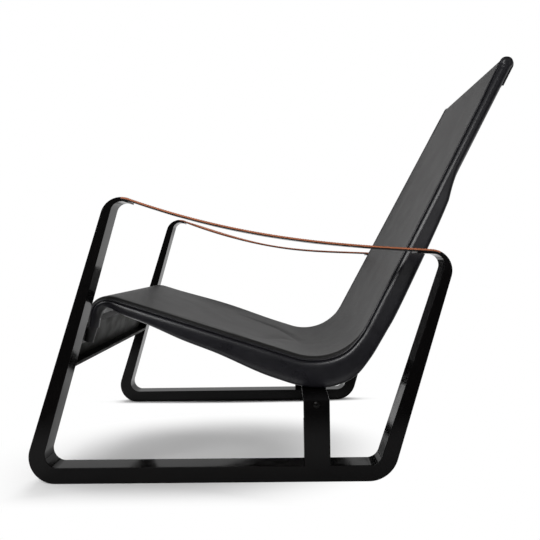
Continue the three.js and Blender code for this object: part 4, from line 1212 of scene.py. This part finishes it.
def rounded_line(points, radius):
    line = [points[0]]
    for a, b, c in zip(points, points[1:], points[2:]):
        line += Arc(edge_through(a, b), edge_through(b, c), radius).points(step=BEND_STEP)
    return line + [points[-1]]


def folded(points, thickness, radius):
    """The outline of a folded sheet whose left face follows the points."""
    line = cleaned(rounded_line(points, radius))
    line = [points[0]] + [spot for spot in line if abs(spot - points[0]) > NEAREST]
    return line + offset(line, -thickness)[::-1]


def lean(height, depth):
    return front_up[1] * height / front_up[1].imag + front_depth * depth


def post_depth(height):
    across = (lean(height, 0.0), front_depth)
    return abs(meet(across, front_inner) - across[0])


heel = lean(APRON_LOW, post_depth(APRON_LOW))
apron_line = [
    lean(APRON_HIGH, APRON_INSET) + front_depth * APRON_LIP,
    lean(APRON_HIGH, APRON_INSET),
    lean(APRON_LOW, APRON_INSET),
    heel,
    heel + front_up[1] * APRON_FLANGE_LIP,
]
apron_half = WIDTH / 2 - BAND - GAP
apron_drawing = folded(apron_line, -APRON_SHEET, APRON_BEND)
apron = carry("front_channel", apron_drawing, at, -apron_half, apron_half, SHEET_RIM, black_lacquer)
# the inner faces take the duller lacquer whose brighter colour is painted light
apron.data.materials.append(inner_lacquer_painted_light)
inside = front_depth + front_up[1]
for face in apron.data.polygons:
    face.material_index = int(dot(inside, complex(face.normal.x, face.normal.z)) > INNER_FACE)
pieces["front_apron"] = apron
print("apron", round(2 * apron_half), "mm wide")

# %% Add the brackets and the front plate
BRACKET_LENGTH, BRACKET_HEIGHT, BRACKET_RIM = 52.0, 27.0, 0.8
FRONT_PLATE, PLATE_DROP = 2.5, 10.0
web_back = APRON_INSET + APRON_SHEET
tube_front = dot(front_depth, SEAT_CORNER) - TUBE
bracket_depth = tube_front - web_back - 2 * GAP
bracket_foot = lean(drop_end.imag, web_back + GAP)
bracket_drawing = [
    bracket_foot, bracket_foot + front_depth * bracket_depth,
    bracket_foot + front_depth * bracket_depth + front_up[1] * BRACKET_HEIGHT,
    bracket_foot + front_up[1] * BRACKET_HEIGHT,
]
for name, side in SIDES.items():
    near = SEAT_HALF + TUBE - BRACKET_LENGTH
    ends = sorted((side * near, side * (near + BRACKET_LENGTH)))
    pieces[f"{name}_front_bracket"] = carry(
        f"{name}_bracket", bracket_drawing, at, *ends, BRACKET_RIM, satin_steel,
    )

plate_stations = [station(d) for d in stops(front_bend_at - PLATE_DROP, seat_at + PLATE_RUN)]
plate_face = [spot + normal * (TUBE + GAP / 2) for spot, normal in plate_stations]
plate_low = TUBE + GAP / 2 - FRONT_PLATE
plate_half = SEAT_HALF - math.sqrt(TUBE ** 2 - plate_low ** 2) - 2 * GAP
plate_drawing = plate_face + offset(plate_face, -FRONT_PLATE)[::-1]
pieces["front_plate"] = carry(
    "front_roll_plate", plate_drawing, at, -plate_half, plate_half, SHEET_RIM, satin_steel,
)
print("bracket", round(bracket_depth, 1), "mm deep")

# %% [markdown]
# ## Rear support
#
# On each rail stands a short upright of folded steel, flush with the runner's outer face. A folded arm is
# bolted to its head and reaches in under the seat, where it carries a cross bar between the cheeks. The
# upright's plate is one carried drawing with its two flanges cut lower, and the arm is a folded sheet.

# %% Find the heights under the bend
UPRIGHT_AT, UPRIGHT_WIDTH, UPRIGHT_SHEET, UPRIGHT_FLANGE = 572.0, 50.0, 3.0, 18.0
UPRIGHT_TOP, FLANGE_STOP = 154.5, 37.0
ARM_SHEET, ARM_LEG, ARM_PAD, ARM_STEP = 4.0, 30.0, 44.0, 9.0
BAR_WIDTH, BAR_HEIGHT = 38.0, 18.0


def bottom_of(distance):
    spot, normal = station(distance)
    return (spot + normal * (SKIN - side_depth(distance))).imag


cover_bottom = min(bottom_of(d) for d in stops(seat_at, back_at))
bar_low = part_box("bend_cross_bar")[0].z / MM
pad_level, arm_level = bar_low - GAP, cover_bottom - 2 * GAP
print("cover bottom", round(cover_bottom, 1), "bar from", round(bar_low, 1), "mm")

# %% Make the cross bar and the arms
BAR_CORNER, BAR_RIM, ARM_BEND, ARM_RIM = 3.0, 0.5, 5.0, 0.7
bar_middle = complex(UPRIGHT_AT, bar_low + BAR_HEIGHT / 2)
bar_edges = [
    (bar_middle + complex(0, -BAR_HEIGHT / 2), heading(0)), (bar_middle + BAR_WIDTH / 2, heading(90)),
    (bar_middle + complex(0, BAR_HEIGHT / 2), heading(180)), (bar_middle - BAR_WIDTH / 2, heading(270)),
]
bar_corners = [Arc(a, b, BAR_CORNER) for a, b in zip(bar_edges, bar_edges[1:] + bar_edges[:1])]
bar_drawing = [spot for corner in bar_corners for spot in corner.points(step=BEND_STEP)]
bar_half = SEAT_HALF + CHEEK_OFFSET - CHEEK / 2 - GAP
pieces["bend_cross_bar"] = carry("bend_bar", bar_drawing, at, -bar_half, bar_half, BAR_RIM, satin_steel)

leg_face, pad_from = UPRIGHT_SHEET + GAP, WIDTH / 2 - SEAT_HALF + ARM_STEP
arm_line = [
    complex(leg_face, UPRIGHT_TOP - ARM_LEG), complex(leg_face, UPRIGHT_TOP),
    complex(WIDTH / 2 - SEAT_HALF - SKIN - ARM_STEP, arm_level), complex(WIDTH / 2 - SEAT_HALF, arm_level),
    complex(pad_from, pad_level), complex(pad_from + ARM_PAD, pad_level),
]
arm_drawing = folded(arm_line, ARM_SHEET, ARM_BEND)
for name, side in SIDES.items():
    def across_arm(spot, level, side=side):
        return at(complex(level, spot.imag), side * (WIDTH / 2 - spot.real))

    ends = UPRIGHT_AT - UPRIGHT_WIDTH / 2, UPRIGHT_AT + UPRIGHT_WIDTH / 2
    pieces[f"{name}_rear_arm"] = carry(
        f"{name}_seat_arm", arm_drawing, across_arm, *ends, ARM_RIM, black_lacquer,
    )
print("arms at", round(arm_level, 1), "mm")

# %% Make the uprights
UPRIGHT_CORNER, UPRIGHT_RIM, WELD_LAP, FLUSH, CUT_OVER = 3.4, 0.7, 1.6, 0.05, 10.0


def channel_drawing():
    half, flange = UPRIGHT_WIDTH / 2, UPRIGHT_FLANGE
    corners = [complex(-half, flange), complex(-half, -FLUSH), complex(half, -FLUSH), complex(half, flange)]
    line = rounded_line(corners, UPRIGHT_CORNER)
    return line + offset(line, UPRIGHT_SHEET)[::-1]


def cutter_box(low, high):
    box = bmesh.new()
    bmesh.ops.create_cube(box, size=1.0)
    for corner in box.verts:
        corner.co = [blend(a, b, c + 0.5) for a, b, c in zip(low, high, corner.co)]
    mesh = bpy.data.meshes.new("cutter")
    box.to_mesh(mesh)
    box.free()
    return in_scene("cutter", mesh)


for name, side in SIDES.items():
    def on_upright(spot, level, side=side):
        return at(complex(UPRIGHT_AT + spot.real, level), side * (WIDTH / 2 - spot.imag))

    ends = RAIL_HEIGHT - WELD_LAP, UPRIGHT_TOP
    upright = carry(f"{name}_upright", channel_drawing(), on_upright, *ends, UPRIGHT_RIM, black_lacquer)
    inside, deep = sorted((side * (WIDTH / 2 - UPRIGHT_CORNER), side * (WIDTH / 2 - 2 * UPRIGHT_FLANGE)))
    low = at(complex(UPRIGHT_AT - UPRIGHT_WIDTH, UPRIGHT_TOP - FLANGE_STOP), inside)
    high = at(complex(UPRIGHT_AT + UPRIGHT_WIDTH, UPRIGHT_TOP + CUT_OVER), deep)
    cutter = cutter_box(low, high)
    modify(upright, "BOOLEAN", operation="DIFFERENCE", object=cutter, solver="EXACT")
    settle(upright)
    bpy.data.objects.remove(cutter)
    smooth_shading(upright.data)
    pieces[f"{name}_rear_upright"] = upright
print("uprights", UPRIGHT_TOP - RAIL_HEIGHT, "mm tall")

# %% [markdown]
# ## Screws and bolts
#
# Four screws hold each strap, and bolts with round button heads hold the arms, the brackets and the
# pads. They are all one shape in different sizes, so one Geometry Nodes tree makes it: a flattened
# ball, cut flat below, with a hexagon socket, on a plain shank. Points with a direction say where.


# %% Helpers for trees that make shapes
def tree_with(name, numbers):
    """A tree that takes a geometry, some numbers and a finish, with its input and output nodes."""
    tree = bpy.data.node_groups.new(name, "GeometryNodeTree")
    kinds = {"Geometry": "Geometry"} | dict.fromkeys(numbers, "Float") | {"Finish": "Material"}
    for label, kind in kinds.items():
        tree.interface.new_socket(label, in_out="INPUT", socket_type=f"NodeSocket{kind}")
    tree.interface.new_socket("Geometry", in_out="OUTPUT", socket_type="NodeSocketGeometry")
    return tree, add(tree, "NodeGroupInput").outputs, add(tree, "NodeGroupOutput")


def vector(tree, x, y, z):
    return add(tree, "ShaderNodeCombineXYZ", {"X": x, "Y": y, "Z": z}).outputs[0]


def lifted(tree, mesh, length, share, lap=0.0):
    """A mesh moved up by a share of a length and a lap."""
    lift = add(tree, "ShaderNodeMath", {0: length, 1: share, 2: lap}, operation="MULTIPLY_ADD").outputs[0]
    inputs = {"Geometry": mesh, "Translation": vector(tree, 0.0, 0.0, lift)}
    return add(tree, "GeometryNodeTransform", inputs).outputs[0]


def flattened(tree, ball, radius, height):
    """A ball of radius 1, made as wide and as high as said."""
    mesh = add(tree, "GeometryNodeMeshUVSphere", ball).outputs["Mesh"]
    inputs = {"Geometry": mesh, "Scale": vector(tree, radius, radius, height)}
    return add(tree, "GeometryNodeTransform", inputs).outputs[0]


def cylinder(tree, sides, radius, depth):
    inputs = {"Vertices": sides, "Radius": radius, "Depth": depth}
    return add(tree, "GeometryNodeMeshCylinder", inputs).outputs["Mesh"]


def end_tree(tree, points, shape, direction, finish, output):
    """Sets a shape on every point, turns it along a direction and paints it."""
    aim = add(tree, "FunctionNodeAlignRotationToVector", {"Vector": direction}, axis="Z").outputs[0]
    inputs = {"Points": points, "Instance": shape, "Rotation": aim}
    placed = add(tree, "GeometryNodeInstanceOnPoints", inputs).outputs[0]
    realized = add(tree, "GeometryNodeRealizeInstances", {"Geometry": placed}).outputs[0]
    inputs = {"Geometry": realized, "Material": finish}
    feed(tree, add(tree, "GeometryNodeSetMaterial", inputs).outputs[0], output, "Geometry")


# %% Build the fastener tree
FASTENER = "Head radius", "Head height", "Socket", "Shank radius", "Shank length"
BALL = {"Segments": 28, "Rings": 18, "Radius": 1.0}
SOCKET_SIDES, SHANK_SIDES, CUT_WIDTH, SOCKET_RISE, SHANK_LAP = 6, 18, 3.0, 0.9, 0.0002

fastener_tree, given, output = tree_with("button fastener", FASTENER)
tree = fastener_tree
radius, height, length = given["Head radius"], given["Head height"], given["Shank length"]
wide = combine(tree, "MULTIPLY", radius, CUT_WIDTH)
block = add(tree, "GeometryNodeMeshCube", {"Size": vector(tree, wide, wide, height)}).outputs["Mesh"]
hexagon = cylinder(tree, SOCKET_SIDES, given["Socket"], height)
head = add(tree, "GeometryNodeMeshBoolean", operation="DIFFERENCE", solver="EXACT")
feed(tree, flattened(tree, BALL, radius, height), head, "Mesh 1")
for tool in (lifted(tree, block, height, -0.5), lifted(tree, hexagon, height, SOCKET_RISE)):
    feed(tree, tool, head, "Mesh 2")
shank = cylinder(tree, SHANK_SIDES, given["Shank radius"], length)
whole = add(tree, "GeometryNodeJoinGeometry")
for part in (head.outputs["Mesh"], lifted(tree, shank, length, -0.5, SHANK_LAP)):
    feed(tree, part, whole, "Geometry")
aimed = add(tree, "GeometryNodeInputNamedAttribute", {"Name": "facing"}, data_type="FLOAT_VECTOR")
direction = aimed.outputs["Attribute"]
end_tree(tree, given["Geometry"], whole.outputs[0], direction, given["Finish"], output)
print("fastener tree of", len(tree.nodes), "nodes")

# %% [markdown]
# The tree's inputs are set by their identifiers before the tree runs, and the result is turned into a
# plain mesh, because an exported model keeps meshes and not instances.

# %% Run a tree once and keep its mesh
GROWN_SHARP = 40.0


def grown(name, tree, points, edges, sizes, finish, facing=None):
    mesh = bpy.data.meshes.new(name)
    mesh.from_pydata(points, edges, [])
    if facing:
        directions = mesh.attributes.new("facing", "FLOAT_VECTOR", "POINT")
        directions.data.foreach_set("vector", np.array(facing, np.float32).ravel())
    piece = in_scene(name, mesh)
    modifier = modify(piece, "NODES", node_group=tree)
    values = sizes | {"Finish": finish}
    for item in tree.interface.items_tree:
        if item.in_out == "INPUT" and item.name in values:
            modifier[item.identifier] = values[item.name]
    settle(piece)
    smooth_shading(piece.data, GROWN_SHARP)
    return piece


def fasten(name, sizes, rows):
    """Grows a set of fasteners from rows of a node's name, a point and a direction."""
    nodes, points, facing = (list(column) for column in zip(*rows))
    sizes = {label: size * MM for label, size in zip(FASTENER, sizes)}
    return grown(name, fastener_tree, points, [], sizes, dark_zinc, facing), nodes


print("edges of grown pieces stay sharp from", GROWN_SHARP, "degrees on")

# %% Place the strap screws
SCREW_HEAD_RADIUS, SCREW_HEAD, SCREW_SOCKET, SCREW_RADIUS, SCREW_SPACING = 4.6, 0.8, 1.9, 2.4, 24.0
FRONT_SCREW, REAR_SCREW = 6.0, 14.0
SCREW = SCREW_HEAD_RADIUS, SCREW_HEAD, SCREW_SOCKET, SCREW_RADIUS, STRAP + GAP + TONGUE
front_spot = front_tip[0] + front_bed[1] * FRONT_SCREW
rear_spot = rear_roll.end + rear_bed[1] * REAR_SCREW


def strap_screws(name, side):
    rows = []
    for end, target in (("front", front_spot), ("rear", rear_spot)):
        i = min(range(1, len(strap_line) - 1), key=lambda k: abs(strap_line[k] - target))
        up = 1j * edge_through(strap_line[i - 1], strap_line[i + 1])[1]
        for half, place in ((-1, "inner"), (1, "outer")):
            spot = at(strap_line[i], side * (runner_middle + half * SCREW_SPACING / 2))
            rows.append((f"{name}_strap_{end}_screw_{place}", spot, (up.real, 0.0, up.imag)))
    return fasten(f"{name}_strap_screws", SCREW, rows)


fasteners = [strap_screws(name, side) for name, side in SIDES.items()]
print("strap screws", sum(len(nodes) for _, nodes in fasteners))

# %% Place the bolts
BOLT_HEAD_RADIUS, BOLT_HEAD, BOLT_SOCKET, BOLT_RADIUS, SUPPORT_BOLT = 6.6, 3.6, 2.6, 4.0, 6.4
BRACKET_BOLTS, BOLT_INSET, PAD_BOLTS, UPRIGHT_BOLT_DROP = 14.0, 26.0, 20.0, 7.0
BOLT = BOLT_HEAD_RADIUS, BOLT_HEAD, BOLT_SOCKET, BOLT_RADIUS
bracket_middle = drop_end.imag + BRACKET_HEIGHT * front_up[1].imag / 2


def front_bolts(name, side):
    rows = []
    for half, place in ((-1, "lower"), (1, "upper")):
        spot = lean(bracket_middle + half * BRACKET_BOLTS * front_up[1].imag / 2, APRON_INSET)
        point = at(spot, side * (SEAT_HALF - BOLT_INSET))
        rows.append((f"{name}_front_bolt_{place}", point, (-front_depth.real, 0.0, -front_depth.imag)))
    length = APRON_SHEET + 2 * GAP + bracket_depth
    return fasten(f"{name}_bracket_bolts", (*BOLT, length), rows)


def support_bolts(name, side):
    rows = []
    for half, place in ((-1, "front"), (1, "rear")):
        spot = complex(UPRIGHT_AT + half * PAD_BOLTS / 2, pad_level - ARM_SHEET)
        point = at(spot, side * (WIDTH / 2 - pad_from - ARM_PAD / 2))
        rows.append((f"{name}_pad_bolt_{place}", point, (0, 0, -1)))
    point = at(complex(UPRIGHT_AT, UPRIGHT_TOP - UPRIGHT_BOLT_DROP), side * (WIDTH / 2 + FLUSH))
    rows.append((f"{name}_upright_bolt", point, (0, side, 0)))
    return fasten(f"{name}_support_bolts", (*BOLT, SUPPORT_BOLT), rows)


for name, side in SIDES.items():
    fasteners += [front_bolts(name, side), support_bolts(name, side)]
print("fasteners", sum(len(nodes) for _, nodes in fasteners))

# %% [markdown]
# ## Stitches
#
# A row of small stitches runs beside the piping on the panel, across the hem at the back, and along both
# edges of the straps. A stitch is a thin long bead. The tree walks along a drawn line in even steps,
# sets one bead on each step and turns it along the line.

# %% Build the stitch tree
STITCH = {"Pitch": 5.0 * MM, "Stitch length": 3.7 * MM, "Thread radius": 0.38 * MM}
BEAD = {"Segments": 6, "Rings": 5, "Radius": 1.0}
stitch_tree, given, output = tree_with("stitch row", STITCH)
tree = stitch_tree
path = add(tree, "GeometryNodeMeshToCurve", {"Mesh": given["Geometry"]}).outputs[0]
steps = {"Curve": path, "Length": given["Pitch"]}
even = add(tree, "GeometryNodeResampleCurve", steps, mode="LENGTH").outputs[0]
half_length = combine(tree, "MULTIPLY", given["Stitch length"], 0.5)
shape = flattened(tree, BEAD, given["Thread radius"], half_length)
direction = add(tree, "GeometryNodeInputTangent").outputs[0]
end_tree(tree, even, shape, direction, given["Finish"], output)
print("stitch tree of", len(tree.nodes), "nodes")

# %% Sew the panel and the straps
SEAM_INSET, STRAP_INSET, THREAD_SINK, HEM_POINTS, BARE_POINTS = 6.5, 4.0, 0.12, 40, 2


def rows_of(lines):
    points = [spot for line in lines for spot in line]
    edges, start = [], 0
    for line in lines:
        edges += [(start + i, start + i + 1) for i in range(len(line) - 1)]
        start += len(line)
    return points, edges


def panel_line(side):
    line = []
    for spot, normal, distance, turned_over in panel_stations():
        place = panel_reach(distance, turned_over) - SEAM_INSET
        across, raised = panel_spots(distance, turned_over, place, SKIN + THREAD_SINK)
        line.append(at(spot + normal * raised, side * across))
    return line


def hem_line():
    spot, normal = station(line_end - TOP_HEM + SEAM_INSET)
    half = panel_reach(line_end - TOP_HEM, 1.0) - SEAM_INSET
    rear_face = spot - normal * (SKIN + REAR_LAYER + THREAD_SINK)
    return [at(rear_face, half * share) for share in np.linspace(-1, 1, HEM_POINTS)]


stitches = {}
seams = [panel_line(-1), panel_line(1), hem_line()]
stitches["panel"] = grown("panel_stitches", stitch_tree, *rows_of(seams), STITCH, charcoal_thread)
for name, side in SIDES.items():
    upper_face = offset(strap_line, THREAD_SINK)[BARE_POINTS:-BARE_POINTS]
    middle, reach = side * runner_middle, strap_width / 2 - STRAP_INSET
    lines = [[on_strap(spot, middle + half * reach) for spot in upper_face] for half in (-1, 1)]
    stitches[name] = grown(f"{name}_strap_stitches", stitch_tree, *rows_of(lines), STITCH, tan_thread)
print("stitch faces", sum(len(piece.data.polygons) for piece in stitches.values()))

# %% [markdown]
# ## Hand-over
#
# Every piece rides on the chair's one body, and the CAD solids that the new pieces are laid over are
# switched off. The cross tube, hidden under the leather, keeps its CAD shape and only gets its paint.

# %% Ride on the body and replace the CAD solids
for key_name, piece in pieces.items():
    kind = key_name.removeprefix("left_").removeprefix("right_")
    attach(piece, "root")
    # the strap's lower layer of painted shade stands for no CAD solid, so none is switched off for it
    if kind != "lining":
        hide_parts(key_name.replace("_strap", "_arm_strap"))
for piece, nodes in fasteners:
    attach(piece, "root")
    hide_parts(*nodes)
for name, piece in stitches.items():
    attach(piece, "root")
cross_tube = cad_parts["top_cross_tube"]
cross_tube.data.materials.clear()
cross_tube.data.materials.append(satin_steel)
print(len(pieces) + len(fasteners) + len(stitches), "pieces ride on the chair")
